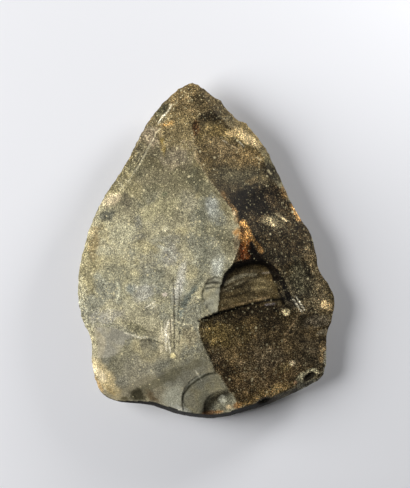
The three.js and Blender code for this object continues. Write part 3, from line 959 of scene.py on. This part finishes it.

# %% [markdown]
# ## Stains on the dark side
#
# Cream and ochre patches are old skin that the later blows didn't reach. A golden crust lines the margin of
# the butt. A few dark patches are painted shade: under a small step near the tip, and, over dark flint, in a
# shallow hollow of the right face and below the step under the hinge scar.

# %% Stains on the dark side
DARK_BLOTCHES = [
    # name, tone, middle, half length, half width, turn, strength, ragged
    ("tan above", tone(120, 103, 74), (5, 30.4), 6, 3.0, -20, 0.6, 0.9),
    ("ochre", tone(112, 93, 60), (12.6, 27.8), 4.6, 2.4, -25, 0.75, 0.8),
    ("cream", tone(210, 186, 138), (11.4, 33.6), 4.4, 1.5, -34, 1.0, 0.5),
    ("cream above", tone(180, 156, 110), (7.6, 34.6), 2.4, 1.1, 10, 0.85, 0.7),
    # The dark top and the dark top right are painted shade under a small step near the tip.
    ("dark top", tone(40, 33, 20), (1.4, 39.6), 4.4, 1.6, 4, 0.95, 0.5),
    ("dark top right", tone(62, 52, 34), (5.6, 37.4), 2.6, 1.8, 0, 0.8, 0.7),
    ("tan streak", tone(130, 112, 74), (-0.4, 35.4), 0.7, 2.2, 0, 0.8, 0.4),
    ("rusty notch", tone(82, 56, 32), (-3.4, 36.0), 1.1, 2.6, 0, 0.85, 0.5),
    ("greenish", tone(84, 78, 58), (7.4, 22.4), 5.6, 2.2, -16, 0.7, 0.7),
    ("dark margin", tone(36, 29, 18), (19.2, 23.2), 5.2, 2.2, -58, 0.8, 0.6),
    # The dark middle and the dark by the crest are painted shade of a shallow hollow, over dark flint.
    ("dark middle", tone(18, 14, 8), (13.6, 15.4), 5.2, 4.2, -20, 0.92, 0.6),
    ("dark by the crest", tone(22, 17, 10), (9.8, 12.8), 1.7, 4.6, 20, 0.9, 0.5),
    ("tan spot", tone(108, 92, 62), (13.4, 20.6), 2.0, 1.0, 10, 0.7, 0.7),
    ("speckled", tone(120, 108, 80), (19.2, 8.6), 2.6, 1.3, -20, 0.8, 0.9),
    ("speckled right", tone(116, 102, 74), (22.2, 9.6), 2.2, 0.7, -35, 0.8, 0.8),
    ("rusty edge", tone(118, 92, 56), (22.8, 17.4), 1.3, 2.0, 28, 0.85, 0.6),
    ("rusty edge below", tone(160, 124, 76), (26.2, 11.4), 0.8, 2.4, 25, 0.95, 0.6),
    ("black", tone(20, 14, 9), (13.9, -0.6), 2.9, 2.0, -25, 0.98, 0.4),
    ("dark beside the hinge", tone(44, 39, 29), (20, -0.8), 5.0, 3.0, -40, 0.6, 0.7),
    ("grey green", tone(70, 66, 50), (26.8, -8.0), 2.8, 5.2, 10, 0.7, 0.7),
    ("brown edge", tone(104, 90, 64), (31.8, -5.4), 1.6, 6.4, 20, 0.7, 1.0),
    ("brown edge low", tone(110, 96, 70), (33.6, -12.8), 2.0, 2.6, 0, 0.6, 1.0),
    ("cream corner", tone(184, 158, 114), (35.4, -16.2), 1.9, 1.1, -30, 0.95, 0.5),
    ("olive lower", tone(106, 90, 54), (2.4, -24), 5.4, 4.0, 0, 0.85, 0.6),
    ("olive right of it", tone(84, 72, 46), (9.4, -25), 3.4, 3.4, 0, 0.6, 0.8),
    # The black under the step is painted shade below the step, over dark flint.
    ("black under the step", tone(34, 28, 19), (14.6, -17.8), 8.6, 2.2, 10, 0.9, 0.5),
    ("dark lower", tone(44, 37, 26), (19.4, -21.4), 4.4, 3.0, -10, 0.7, 0.7),
    ("dark left corner", tone(44, 36, 26), (4.4, -35), 2.6, 5.0, 20, 0.6, 0.6),
    ("grey lower", tone(86, 76, 60), (16.4, -31), 6.0, 5.0, 20, 0.4, 0.9),
    ("light lower", tone(108, 94, 62), (22.8, -34.2), 2.6, 1.8, 20, 0.6, 0.8),
    ("white dot", tone(206, 188, 150), (25.1, -33.2), 0.85, 0.6, 10, 0.95, 0.3),
    ("pink dot low", tone(196, 156, 116), (26.0, -38.9), 0.65, 0.5, 0, 0.95, 0.3),
    ("pink dot left", tone(176, 140, 96), (22.0, -40.7), 0.9, 0.6, 20, 0.9, 0.5),
    ("green corner", tone(150, 144, 116), (29.2, -37.2), 3.2, 1.5, 24, 0.9, 0.6),
    ("crust", tone(132, 110, 70), (18.6, -41.8), 4.8, 1.7, 18, 0.8, 0.9),
    ("crust left", tone(150, 122, 76), (11, -45.6), 5, 0.9, 10, 0.8, 0.8),
    ("margin", tone(122, 102, 70), (33.8, -31.4), 1.4, 3.4, 0, 0.7, 0.9),
    ("shoulder light", tone(112, 102, 84), (32.4, -20.8), 4.0, 2.0, 10, 0.7, 0.8),
    ("shoulder lighter", tone(134, 122, 98), (34.4, -24.0), 1.8, 1.0, 20, 0.8, 0.7),
    ("star", tone(214, 196, 150), (23.2, -18.0), 0.95, 0.9, 20, 1.0, 0.5),
]
print(len(DARK_BLOTCHES), "stains on the dark side")
upper_colours = lay_on(upper_colours, DARK_BLOTCHES, on_dark_side, 100)

# %% [markdown]
# ## Rust and black above the hinge scar
#
# Iron left rust on the crest above the hinge scar, right beside the blackest flint. Both run in narrow
# streaks, so they are painted along paths.

# %% Rust and black above the hinge scar
RUST = [
    # tone, path, width, strength
    (tone(104, 84, 60), [(8.4, 3.4), (8.6, 0.4), (9.1, -2.0)], 1.6, 0.6),
    (tone(12, 8, 6), [(13.2, 3.2), (13.4, 1.0), (13.2, -2.4)], 1.7, 0.95),
    (tone(122, 72, 34), [(11.0, 4.4), (10.8, 1.4), (10.4, -2.3)], 2.3, 0.95),
    (tone(66, 32, 16), [(10.2, 1.2), (10.3, -0.4), (10.2, -2.4)], 1.6, 0.85),
    (tone(164, 106, 52), [(11.2, 4.2), (11.2, 1.4)], 1.4, 0.8),
    (tone(186, 140, 80), [(10.5, 7.8), (11.5, 6.4), (12.0, 4.4)], 1.5, 0.95),
    (tone(176, 130, 74), [(8.2, 5.2), (9.0, 5.8), (9.8, 4.4), (10.2, 3.2)], 1.3, 0.9),
    (tone(84, 56, 32), [(10.0, 7.0), (10.3, 5.2), (10.2, 4.4)], 0.6, 0.85),
    (tone(164, 124, 72), [(13.1, 3.6), (14.2, 2.2), (15.9, -0.2)], 0.95, 0.85),
]
for colour, path, width, strength in RUST:
    mask = along_path(upper_x, upper_y, path, width, 0.5, 311)
    upper_colours = paint(upper_colours, colour, strength * mask)
print(len(RUST), "strokes of rust and black")

# %% [markdown]
# ## Ridges and hollows
#
# The next pass of paint follows the form. Ridges are painted paler, partly as wear from handling and partly
# as a painted highlight, and the foot of each step is darkened with painted shade. Both come from one
# measure: how far a point stands above or below the mean height around it.

# %% Ridges and hollows
stands_out = upper_z - smoothed(upper_z, passes=4)
ridge_wear_and_highlight = ease(stands_out / 0.10)
hollow = ease(-stands_out / 0.10)
below_tip = ease((44 - upper_y) / 8)
ridge_wear_and_highlight_colour = np.where(on_dark_side[..., None], tone(120, 102, 70), tone(190, 182, 152))
# Ridges painted paler: part wear, part painted highlight.
upper_colours = paint(upper_colours, ridge_wear_and_highlight_colour, 0.30 * ridge_wear_and_highlight * edge_fade * below_tip)
# Painted shade darkens the foot of each step.
upper_colours = upper_colours * (1 - 0.55 * hollow * edge_fade)[..., None]
print("ridges stand out by up to", stands_out.max().round(2), "mm")

# %% [markdown]
# ## The crest between the two sides
#
# The sharp crest is worn pale, and rust has crept along its lower end. Its place needs no new drawing: it is
# where the dark side meets the pale one, found by smoothing a mask of the dark side and taking its middle.

# %% The crest between the two sides
side_blend = smoothed(on_dark_side.astype(float), passes=3)
border = np.clip(1 - np.abs(2 * side_blend - 1), 0, 1)
broken = np.clip(0.8 + 1.2 * torn(upper_x, upper_y, 95), 0, 1)
on_the_crest = border * broken * hump(upper_y, 24, 16)
upper_colours = paint(upper_colours, tone(158, 142, 110), 0.8 * on_the_crest)
CREST_RUST = [(4.6, 16.8), (6.0, 14.8), (7.2, 12.9), (8.0, 10.8), (8.6, 8.6)]
crest_rust = along_path(upper_x, upper_y, CREST_RUST, 0.9, 1.2, 321)
upper_colours = paint(upper_colours, tone(132, 104, 66), 0.6 * crest_rust)
crest_glint = along_path(upper_x, upper_y, [(7.7, 11.4), (7.9, 10.6)], 0.5)
upper_colours = paint(upper_colours, tone(214, 190, 146), crest_glint)
upper_colours = paint(upper_colours, tone(172, 164, 134), 0.5 * border * broken * (upper_y < -21))
print("the worn line covers", round(float((border > 0.5).mean() * 100), 1), "% of the points")

# %% [markdown]
# ## Scratches and strokes
#
# Scratches, veins, ripple lines and the rims of small scars are thin, so each is a short path with a tone, a
# strength and a width. The scratches use the same lines that were cut into the relief above.

# %% Scratches and strokes
for start, end, width, _, kind in SCRATCHES:
    mask = near_line(upper_x, upper_y, start, end, width)
    scratch_colour = tone(226, 218, 192) if kind == "pale" else tone(58, 54, 42)
    upper_colours = paint(upper_colours, scratch_colour, 0.9 * mask)
STROKES = [
    # name, tone, strength, width, path
    # The rim of the tip nick is a painted highlight.
    ("lit rim of the tip nick", tone(232, 222, 190), 0.95, 0.42,
     [(-10.7, 42.7), (-11.6, 41.2), (-13.4, 39.4), (-14.4, 37.8)]),
    ("lit step", tone(214, 206, 180), 0.85, 0.42,
     [(-24.4, -24.2), (-22.0, -24.9), (-19.6, -25.6), (-17.4, -25.3)]),
    ("pale wisp", tone(206, 202, 170), 0.8, 0.5, [(-26.6, -9.6), (-25.8, -12.0), (-26.8, -15.0)]),
    ("pale arc", tone(180, 178, 160), 0.7, 0.6, [(-14.2, 1.4), (-11.4, 0.2), (-9.2, -2.2)]),
    ("pale vein", tone(206, 198, 164), 0.85, 0.42, [(-5.0, -21.6), (-7.4, -21.4), (-9.4, -20.6)]),
    ("scrape", tone(236, 228, 204), 0.9, 0.36, [(-11.4, -20.6), (-12.2, -23.4), (-12.0, -26.8)]),
    ("scrape beside", tone(232, 222, 190), 0.9, 0.34, [(-13.4, -22.4), (-13.2, -26.4)]),
    # The valley line is a line of painted shade.
    ("shaded valley line", tone(78, 76, 62), 0.7, 0.40, [(-6.6, -18.8), (-8.0, -23), (-8.4, -27)]),
    ("strip rim", tone(104, 102, 80), 0.8, 0.42,
     [(-0.4, -9.4), (-1.4, -12.0), (-1.7, -15.0), (-0.8, -18.0)]),
    ("strip ripple", tone(36, 34, 26), 0.95, 0.70, [(-0.4, -9.6), (1.2, -9.2), (3.6, -9.4)]),
    ("strip ripple below", tone(74, 72, 58), 0.9, 0.40, [(-0.6, -11.0), (1.6, -10.7), (3.6, -10.8)]),
    ("strip ripple above", tone(112, 110, 92), 0.8, 0.34, [(0.6, -7.8), (2.6, -7.6), (4.2, -8.0)]),
    ("shoulder ripple", tone(38, 32, 23), 0.85, 0.45, [(27.4, -26.6), (31, -27.0), (35.6, -26.0)]),
    ("shoulder ripple low", tone(48, 42, 31), 0.75, 0.45, [(28.4, -29.2), (31.6, -29.4), (35.2, -28.4)]),
    ("shoulder ripple high", tone(52, 45, 34), 0.75, 0.42, [(28.6, -21.6), (32, -22.2), (36.8, -21.0)]),
    ("shoulder foot", tone(44, 38, 28), 0.75, 0.50, [(27.6, -19.2), (30, -19.0), (34, -18.6)]),
    ("brown vein", tone(112, 94, 68), 0.7, 0.50,
     [(27.2, -18.4), (26.0, -20.4), (24.6, -22.4), (23.0, -24.6)]),
    ("pale line above the pit", tone(214, 200, 160), 0.9, 0.36,
     [(29.6, -36.2), (31.6, -35.9), (33.6, -36.2)]),
    ("crack in the hinge", tone(38, 32, 22), 0.8, 0.75,
     [(4.2, -12.2), (7, -11.4), (9.6, -10.4), (12, -8.8)]),
    ("second crack", tone(46, 39, 27), 0.7, 0.55, [(4.4, -14.0), (7.5, -13.2), (11, -12.4)]),
    ("ripple light", tone(134, 126, 102), 0.8, 0.75, [(5.0, -9.8), (7.6, -8.2), (11, -7.0), (14, -7.0)]),
    ("ripple light below", tone(118, 108, 84), 0.75, 0.60, [(4.8, -11.4), (7.4, -10.2), (10.4, -8.9)]),
    ("hinge shine", tone(160, 146, 122), 0.8, 0.42, [(16.2, -6.6), (18.6, -6.3), (20.2, -7.0)]),
    ("hinge right rim", tone(104, 92, 68), 0.8, 0.36, [(21.6, -5.6), (23.6, -9.0), (25.0, -13.0)]),
    ("glint under the step", tone(120, 112, 110), 0.7, 0.42, [(17.2, -15.8), (19.6, -15.6)]),
    ("pale mark", tone(196, 180, 140), 0.8, 0.34, [(14.6, 27.6), (15.8, 26.8)]),
    ("pale mark lower", tone(206, 192, 150), 0.85, 0.36, [(17.8, 23.7), (18.8, 22.8)]),
    ("pale mark left", tone(180, 168, 132), 0.8, 0.30, [(1.6, 24.0), (3.4, 23.6)]),
    ("speck streak", tone(200, 180, 138), 0.85, 0.34, [(20.2, 10.9), (21.6, 10.0), (23.4, 8.8)]),
    ("speck streak left", tone(206, 188, 144), 0.85, 0.55, [(18.6, 8.8), (19.4, 7.6)]),
    ("pale hair", tone(176, 156, 118), 0.7, 0.26, [(5.6, 31.8), (8.6, 30.2), (10.8, 30.6)]),
    ("edge rust", tone(176, 136, 84), 0.8, 0.6, [(25.2, 13.4), (26.4, 10.8), (27.4, 9.2)]),
]
for _, colour, strength, width, path in STROKES:
    upper_colours = paint(upper_colours, colour, strength * along_path(upper_x, upper_y, path, width, 0.45))
print(len(STROKES), "strokes and", len(SCRATCHES), "scratches")

# %% [markdown]
# ## The hinge scar and the step below it
#
# The wall of the hinge scar is the blackest part of the stone: fresh black flint with painted shade laid over
# it. The arch is darkened by its distance from the wall. Below, a line of painted shadow follows the step,
# with a painted highlight on the brown lip above it.

# %% The hinge scar and the step below it
from_arch = distance_to(upper_x, upper_y, HINGE_ARCH)
arch_width = 1.6 + 1.3 * ease((upper_x - 17) / 3)
in_arch = made_by(maker, "hinge") | (from_arch < 0.8) & on_dark_side
arch_black_and_shade = ease((arch_width - from_arch + 0.5 * torn(upper_x, upper_y, 97)) / 0.9) * in_arch
# Painted shade over the black flint of the hinge scar's wall.
upper_colours = paint(upper_colours, tone(14, 10, 7), 0.96 * arch_black_and_shade)
hinge_olive = blotch(upper_x, upper_y, (16.4, -10.2), 3.0, 1.9, -10, 0.6, 331) * made_by(maker, "hinge")
upper_colours = paint(upper_colours, tone(126, 112, 78), 0.8 * hinge_olive)
STEP = [(-2.6, -20.4), (0.5, -19.1), (4.3, -17.9), (9, -16.7), (13, -15.6), (18, -14.5), (24.6, -14.0)]
step_shadow_line = along_path(upper_x, upper_y, STEP, 0.75, 0.2)
lit_lip = along_path(upper_x, upper_y, [(x, y + 0.95) for x, y in STEP[2:-1]], 0.5, 0.4)
# A line of painted shadow under the step, and a painted highlight on the lip above it.
upper_colours = paint(upper_colours, tone(10, 8, 6), 0.97 * step_shadow_line)
upper_colours = paint(upper_colours, tone(132, 112, 80), 0.75 * lit_lip)
print("the arch is black over", int(arch_black_and_shade.sum()), "points")

# %% [markdown]
# ## The two scars of the butt
#
# One scar sits inside the other. The outer one has a thin rim of painted shade with a painted highlight on
# its lip, and rings as fine as those on a shell. The inner one turns dark along its wall with painted shade.

# %% The two scars of the butt
RIPPLE_RIM = [
    (2.4, -35.6), (-0.4, -36.5), (-3.0, -38.0), (-5.4, -40.0), (-7.0, -42.4), (-7.4, -44.4), (-6.4, -46.4),
    (-4.4, -48.0),
]
ripple_rim_shade = along_path(upper_x, upper_y, RIPPLE_RIM, 0.5, 0.2)
# A thin line of painted shade along the rim of the outer scar.
upper_colours = paint(upper_colours, tone(50, 48, 34), 0.9 * ripple_rim_shade)
outer_lip_highlight = along_path(upper_x, upper_y, [(x - 0.5, y + 0.45) for x, y in RIPPLE_RIM[1:]], 0.4, 0.4)
# A painted highlight on the lip of the outer scar.
upper_colours = paint(upper_colours, tone(190, 187, 164), 0.6 * outer_lip_highlight)
RING_SPACING = 0.95
rings_from_blow = np.hypot(upper_x - 2.5, upper_y + 52) / RING_SPACING
ring_wave = np.cos(full_turn * rings_from_blow + 4 * clouds(upper_x, upper_y, 6, 341))
fine_rings = 0.5 + 0.5 * ring_wave
in_ripple = made_by(maker, "butt ripple")
upper_colours = upper_colours * (1 - 0.20 * fine_rings * in_ripple)[..., None]
INNER_RIM = [(5.2, -41.2), (3.0, -42.0), (0.8, -43.6), (-0.8, -45.6), (-1.6, -48.2)]
inner_wall_shade = along_path(upper_x, upper_y, [(x + 0.7, y - 0.5) for x, y in INNER_RIM], 2.1, 0.3)
in_either_scar = made_by(maker, "butt inner", "butt ripple")
# Painted shade along the wall of the inner scar.
upper_colours = paint(upper_colours, tone(44, 40, 28), 0.92 * inner_wall_shade * in_either_scar)
BUTT_STAINS = [
    # tone, middle, half length, half width, strength
    (tone(178, 176, 156), (4.4, -44.2), 1.6, 1.5, 0.8),
    (tone(206, 184, 142), (6.4, -46.2), 1.2, 0.9, 0.9),
    (tone(92, 66, 42), (0.4, -48.0), 2.0, 0.7, 0.9),
    (tone(150, 108, 62), (3.4, -47.6), 1.8, 0.6, 0.8),
    (tone(118, 86, 50), (8.8, -45.6), 1.6, 1.0, 0.9),
]
for number, (colour, middle, half_length, half_width, strength) in enumerate(BUTT_STAINS):
    mask = blotch(upper_x, upper_y, middle, half_length, half_width, 10, 0.6, 351 + number)
    upper_colours = paint(upper_colours, colour, strength * mask)
print(len(BUTT_STAINS), "stains in the scars of the butt")

# %% [markdown]
# ## The wall under the butt and the pits
#
# Under the blunt butt stands a low wall that faces away from the light. Its dark flint is painted near black
# with painted shade, and the paint fades into brown to the right. The pits are painted as dark inside, also
# as painted shade.

# %% The wall under the butt and the pits
butt_wall = made_by(maker, "edge") & (upper_y < -38)
painted_wall_shade = 0.97 * ease((21 - upper_x) / 4) + 0.6 * ease((upper_x - 17) / 4)
# Painted shade, near black, over the dark flint of the wall under the butt.
upper_colours = paint(upper_colours, tone(14, 11, 8), painted_wall_shade * butt_wall)
# Painted shade inside the pits.
upper_colours = paint(upper_colours, tone(26, 20, 14), 0.92 * made_by(maker, "pit"))
print("the black wall has", int(butt_wall.sum()), "points")

# %% [markdown]
# ## Where the specks are, and how strong the grain is
#
# Tiny cream fossils and sponge needles show as specks. They crowd the old pale face, thin out on the dark
# scars and are missing where the flint is smooth. Two numbers at each point say how many there are and
# how much the grain varies. The material turns them into dots and grain far finer than the mesh.

# %% Where the specks are, and how strong the grain is
SPECK_SHARE = {
    "edge": 0.3, "left": 0.36, "right": 0.24, "tip": 0.22, "butt": 0.1, "tip nick": 0.2, "lower left": 0.12,
    "smooth left": 0.02, "upper left": 0.28, "middle left": 0.28, "beside hinge": 0.04, "upper right": 0.2,
    "middle right": 0.24, "corner": 0.32, "hinge": 0.08, "lower right": 0.24, "shoulder": 0.1,
    "butt ripple": 0.0, "butt inner": 0.05, "pit": 0.0, "nick": 0.3,
}
GRAIN = {
    "edge": 1.3, "left": 1.0, "right": 2.3, "tip": 1.9, "butt": 0.5, "tip nick": 1.4, "lower left": 0.8,
    "smooth left": 0.5, "upper left": 1.1, "middle left": 1.0, "beside hinge": 0.5, "upper right": 1.7,
    "middle right": 2.5, "corner": 2.5, "hinge": 1.3, "lower right": 2.2, "shoulder": 2.0,
    "butt ripple": 0.5, "butt inner": 1.0, "pit": 1.2, "nick": 1.6,
}
specks = np.array([SPECK_SHARE[name] for name in SCAR_NAMES])[maker]
SPECK_CLUSTERS = [
    # middle, half length, half width, how many more or fewer
    ((19.8, 8.6), 4, 2.8, 0.5), ((24, 14), 3, 8, 0.2), ((33, -10), 3.5, 8, 0.25), ((-5.4, 47.6), 3, 2.2, 0.4),
    ((-10, -43), 7, 6, -0.2), ((-12, -26), 3, 5, 0.25), ((12, 26), 6, 4, 0.1), ((20, -41), 12, 3, 0.25),
    ((-28, -4), 8, 12, 0.15), ((-20.8, -11.4), 4.4, 2.6, -0.25), ((2, -5), 3, 6, -0.3), ((1, 12), 3, 6, -0.3),
]
for middle, half_length, half_width, amount in SPECK_CLUSTERS:
    specks = specks + amount * blotch(upper_x, upper_y, middle, half_length, half_width, 0, 0.6, 200)
specks = np.clip(specks * (0.5 + 1.0 * clouds(upper_x, upper_y, 6, 66)), 0, 1)
specks = specks * (1 - 0.95 * butt_wall)
grain = np.array([GRAIN[name] for name in SCAR_NAMES])[maker]
grain = grain + 0.6 * ease((upper_y - 24) / 16) * (grain < 1.2)
grain = smoothed(grain, passes=2)
print("specks average", specks.mean().round(2), "and grain", grain.mean().round(2))

# %% [markdown]
# ## The underside's paint, and handing it all to the mesh
#
# The underside keeps the ground colours, a little darker, with broad brown stains. Each point of the mesh
# then stores its colour and its numbers as attributes, which the material reads by name.

# %% The underside's paint, and handing it all to the mesh
inner_x, inner_y = under_x[inner], under_y[inner]
under_colours = tones_along(inner_y, LEFT_TONES) * 0.85
under_stain = ease((clouds(inner_x, inner_y, 26, 70) - 0.42) / 0.1) * 0.85
under_colours = paint(under_colours, tone(104, 90, 62), under_stain)
under_specks = 0.2 + 0.4 * clouds(inner_x, inner_y, 9, 72)


def store(name, kind, upper_values, under_values):
    values = np.concatenate([upper_values.reshape(upper_x.size, -1), under_values.reshape(inner_x.size, -1)])
    layer = skin.attributes.new(name, kind, "POINT")
    if kind == "FLOAT_COLOR":
        values = np.concatenate([values, np.ones((len(values), 1))], axis=1)
        layer.data.foreach_set("color", values.astype(np.float32).ravel())
    else:
        layer.data.foreach_set("value", values.astype(np.float32).ravel())


store("stone_tone", "FLOAT_COLOR", upper_colours, under_colours)
store("speck_share", "FLOAT", specks, under_specks)
store("grain_strength", "FLOAT", grain, np.full(inner_x.shape, 1.3))
store("dark_flint", "FLOAT", on_dark_side.astype(float), np.full(inner_x.shape, 0.3))
print("mean tone of the upper face:", upper_colours.reshape(-1, 3).mean(axis=0).round(3))

# %% [markdown]
# ## Small tools for nodes
#
# The paint is only as sharp as the mesh, and the material adds what is finer. A material is a web of nodes.
# A few helpers make a node, set its numbers and link it in one line, so the recipe below stays readable.

# %% Small tools for nodes
flint = bpy.data.materials.new("old_flint")
flint.use_nodes = True
tree = flint.node_tree
shader = tree.nodes["Principled BSDF"]


def add(kind, **settings):
    node = tree.nodes.new(kind)
    for name, value in settings.items():
        setattr(node, name, value)
    return node


def feed(node, index, value):
    """Links a socket to an input, or sets a plain number on it."""
    if isinstance(value, (int, float)):
        node.inputs[index].default_value = value
    else:
        tree.links.new(value, node.inputs[index])


def sums(operation, a, b=0.0):
    node = add("ShaderNodeMath", operation=operation)
    feed(node, 0, a)
    feed(node, 1, b)
    return node.outputs["Value"]


def attribute(name):
    return add("ShaderNodeAttribute", attribute_name=name)


print("the material has", len(tree.nodes), "nodes to begin with")

# %% [markdown]
# ## Noise, steps and covers
#
# All noise takes its place from the stone itself, so it stays put when the stone is moved. A step turns
# noise into a patch with a soft edge, and a cover lays a colour over another through such a patch.

# %% Noise, steps and covers
place = add("ShaderNodeTexCoord").outputs["Object"]


def noise(wave_mm, seed, detail=0.0):
    """Noise whose blobs repeat about every so many millimetres."""
    node = add("ShaderNodeTexNoise", noise_dimensions="4D")
    feed(node, "Vector", place)
    node.inputs["W"].default_value = seed
    node.inputs["Scale"].default_value = 1.8 / (wave_mm * MM)
    node.inputs["Detail"].default_value = detail
    return node.outputs["Fac"]


def between(value, start, end, low_result=0.0, high_result=1.0):
    """A smooth step: low_result below start, high_result above end."""
    node = add("ShaderNodeMapRange", interpolation_type="SMOOTHSTEP")
    feed(node, "Value", value)
    limits = {"From Min": start, "From Max": end, "To Min": low_result, "To Max": high_result}
    for socket, number in limits.items():
        node.inputs[socket].default_value = number
    return node.outputs["Result"]


def brighten(colour, factor):
    """A colour made lighter or darker by a grey factor."""
    node = add("ShaderNodeVectorMath", operation="SCALE")
    feed(node, 0, colour)
    feed(node, "Scale", factor)
    return node.outputs["Vector"]


def cover(colour, over, mask):
    node = add("ShaderNodeMix", data_type="RGBA")
    feed(node, "Factor", mask)
    feed(node, 6, colour)
    node.inputs[7].default_value = (*over, 1)
    return node.outputs[2]


print("noise, steps and covers are ready")

# %% [markdown]
# ## Grain
#
# Flint is mottled at every size. Each layer of grain is noise of one size, turned into a factor that darkens
# as much as it brightens: two to the power of the noise. The finest layer is the strongest.

# %% Grain
GRAIN_LAYERS = [
    # millimetres from blob to blob, strength
    (6.5, 1.0), (3.3, 1.0), (1.6, 0.9), (0.85, 1.3), (0.45, 4.2),
]
colour = attribute("stone_tone").outputs["Color"]
grain_strength = attribute("grain_strength").outputs["Fac"]
for seed, (wave_mm, strength) in enumerate(GRAIN_LAYERS):
    lift = sums("MULTIPLY", sums("SUBTRACT", noise(wave_mm, seed), 0.5), strength)
    factor = sums("POWER", 2.0, sums("MULTIPLY", lift, grain_strength))
    colour = brighten(colour, factor)
print(len(GRAIN_LAYERS), "sizes of grain")

# %% [markdown]
# ## Specks
#
# A Voronoi texture scatters points through space, one in each cell, and tells how far the nearest is. Close
# to its point a cell gets a dot. Each cell also has a random colour, which serves as a lottery: only the
# cells whose number wins show their dot, and more win where the stone has more specks.

# %% Specks
def dots(cell_mm, radius, winners, seed):
    """Round dots of about radius times the cell, where the lottery number and the share add up to 1."""
    node = add("ShaderNodeTexVoronoi", voronoi_dimensions="4D")
    feed(node, "Vector", place)
    node.inputs["W"].default_value = seed
    node.inputs["Scale"].default_value = 1 / (cell_mm * MM)
    split = add("ShaderNodeSeparateColor")
    feed(split, "Color", node.outputs["Color"])
    drawn = between(sums("ADD", split.outputs["Red"], winners), 0.98, 1.06)
    near = between(node.outputs["Distance"], radius * 0.7, radius * 1.3, 1.0, 0.0)
    bright = between(split.outputs["Green"], 0.0, 1.0, 0.35, 1.0)
    return sums("MULTIPLY", sums("MULTIPLY", drawn, near), bright)


share = attribute("speck_share").outputs["Fac"]
few = sums("MULTIPLY", share, 0.35)
dark = attribute("dark_flint").outputs["Fac"]
speck_paint = sums("SUBTRACT", 0.85, sums("MULTIPLY", dark, 0.35))
colour = cover(colour, tone(60, 54, 38), sums("MULTIPLY", dots(0.9, 0.42, share, 7.3), 0.4))
colour = cover(colour, tone(226, 214, 168), sums("MULTIPLY", dots(0.55, 0.40, share, 1.7), speck_paint))
colour = cover(colour, tone(232, 218, 172), sums("MULTIPLY", dots(1.1, 0.36, few, 4.1), 0.85))
feed(shader, "Base Color", colour)
print("the colour is built from", len(tree.nodes), "nodes")

# %% [markdown]
# ## Skin and gloss
#
# The pits of the skin are far too small for the mesh, so a bump makes them: it bends the light without
# moving the surface. Roughness falls a little on dark flint, which keeps more of its glassy shine.

# %% Skin and gloss
PALE_ROUGHNESS = 0.60
DARK_ROUGHNESS = 0.58
PIT_DEPTH_MM = 0.15
gloss = add("ShaderNodeMapRange")
feed(gloss, "Value", dark)
gloss.inputs["To Min"].default_value = PALE_ROUGHNESS
gloss.inputs["To Max"].default_value = DARK_ROUGHNESS
feed(shader, "Roughness", gloss.outputs["Result"])
shader.inputs["Specular IOR Level"].default_value = 0.1

pits = add("ShaderNodeBump")
pits.inputs["Strength"].default_value = 0.7
pits.inputs["Distance"].default_value = PIT_DEPTH_MM * MM
feed(pits, "Height", noise(0.9, 8, detail=2.0))
feed(shader, "Normal", pits.outputs["Normal"])
skin.materials.append(flint)

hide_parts("hand_axe")
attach(stone, "root")
print("the stone stands for the solid and rides with it")

# %% [markdown]
# ## The floor
#
# The axe lies on a plain pale sheet with a cool tint, wide enough to fill the view from every side. It is
# matt, so that it shows only the stone's soft shadow.

# %% The floor
floor_mesh = bpy.data.meshes.new("floor")
half = 0.9
paper_colour = (0.855, 0.86, 0.89, 1)
floor_corners = [(-half, -half, 0), (half, -half, 0), (half, half, 0), (-half, half, 0)]
floor_mesh.from_pydata(floor_corners, [], [(0, 1, 2, 3)])
floor = bpy.data.objects.new("floor", floor_mesh)
bpy.context.scene.collection.objects.link(floor)
paper = bpy.data.materials.new("pale_paper")
paper.use_nodes = True
paper_shader = paper.node_tree.nodes["Principled BSDF"]
paper_shader.inputs["Base Color"].default_value = paper_colour
paper_shader.inputs["Roughness"].default_value = 0.9
floor_mesh.materials.append(paper)
print("the floor is", 2 * half, "m across")

# %% [markdown]
# ## Light
#
# One large soft lamp stands on the left, where it rakes across the flake scars and throws a soft shadow to
# the right. A small lamp opposite and a faint even sky lift the shadows a little.

# %% Light
def lamp(name, azimuth, elevation, distance, size, watts):
    """A round soft lamp aimed at the stone. Azimuth runs anticlockwise from the right, both in degrees."""
    turn, climb = math.radians(azimuth), math.radians(elevation)
    light = bpy.data.lights.new(name, "AREA")
    light.shape = "DISK"
    light.size = size
    light.energy = watts
    thing = bpy.data.objects.new(name, light)
    flat = distance * math.cos(climb)
    thing.location = (flat * math.cos(turn), flat * math.sin(turn), distance * math.sin(climb))
    thing.rotation_euler = (-thing.location).to_track_quat("-Z", "Y").to_euler()
    bpy.context.scene.collection.objects.link(thing)


lamp("key_lamp", azimuth=175, elevation=34, distance=0.70, size=0.60, watts=6.6)
lamp("fill_lamp", azimuth=46, elevation=20, distance=0.30, size=0.10, watts=0.60)
sky = bpy.data.worlds.new("studio")
sky.use_nodes = True
sky_shader = sky.node_tree.nodes["Background"]
sky_shader.inputs["Color"].default_value = (0.97, 0.98, 1.0, 1)
sky_shader.inputs["Strength"].default_value = 0.03
bpy.context.scene.world = sky
bpy.context.scene.view_settings.view_transform = "Standard"
print("two lamps and a faint even sky")

# %% [markdown]
# ## Camera
#
# The camera hangs straight above with a long lens, so the outline isn't stretched. The lens is worked out
# from the height of the view that the stone's edge should lie in.

# %% Camera
CAMERA_HEIGHT = 1.0
VIEW_HEIGHT = 144.6 * MM
SENSOR_MM = 36
camera_data = bpy.data.cameras.new("camera")
camera_data.sensor_fit = "VERTICAL"
camera_data.sensor_height = SENSOR_MM
camera_data.lens = SENSOR_MM * (CAMERA_HEIGHT - EDGE_HEIGHT * MM) / VIEW_HEIGHT
camera_data.clip_end = 10
camera = bpy.data.objects.new("camera", camera_data)
camera.location = (-0.7 * MM, 2.0 * MM, CAMERA_HEIGHT)
bpy.context.scene.collection.objects.link(camera)
bpy.context.scene.camera = camera
print("the lens is", round(camera_data.lens), "mm long")
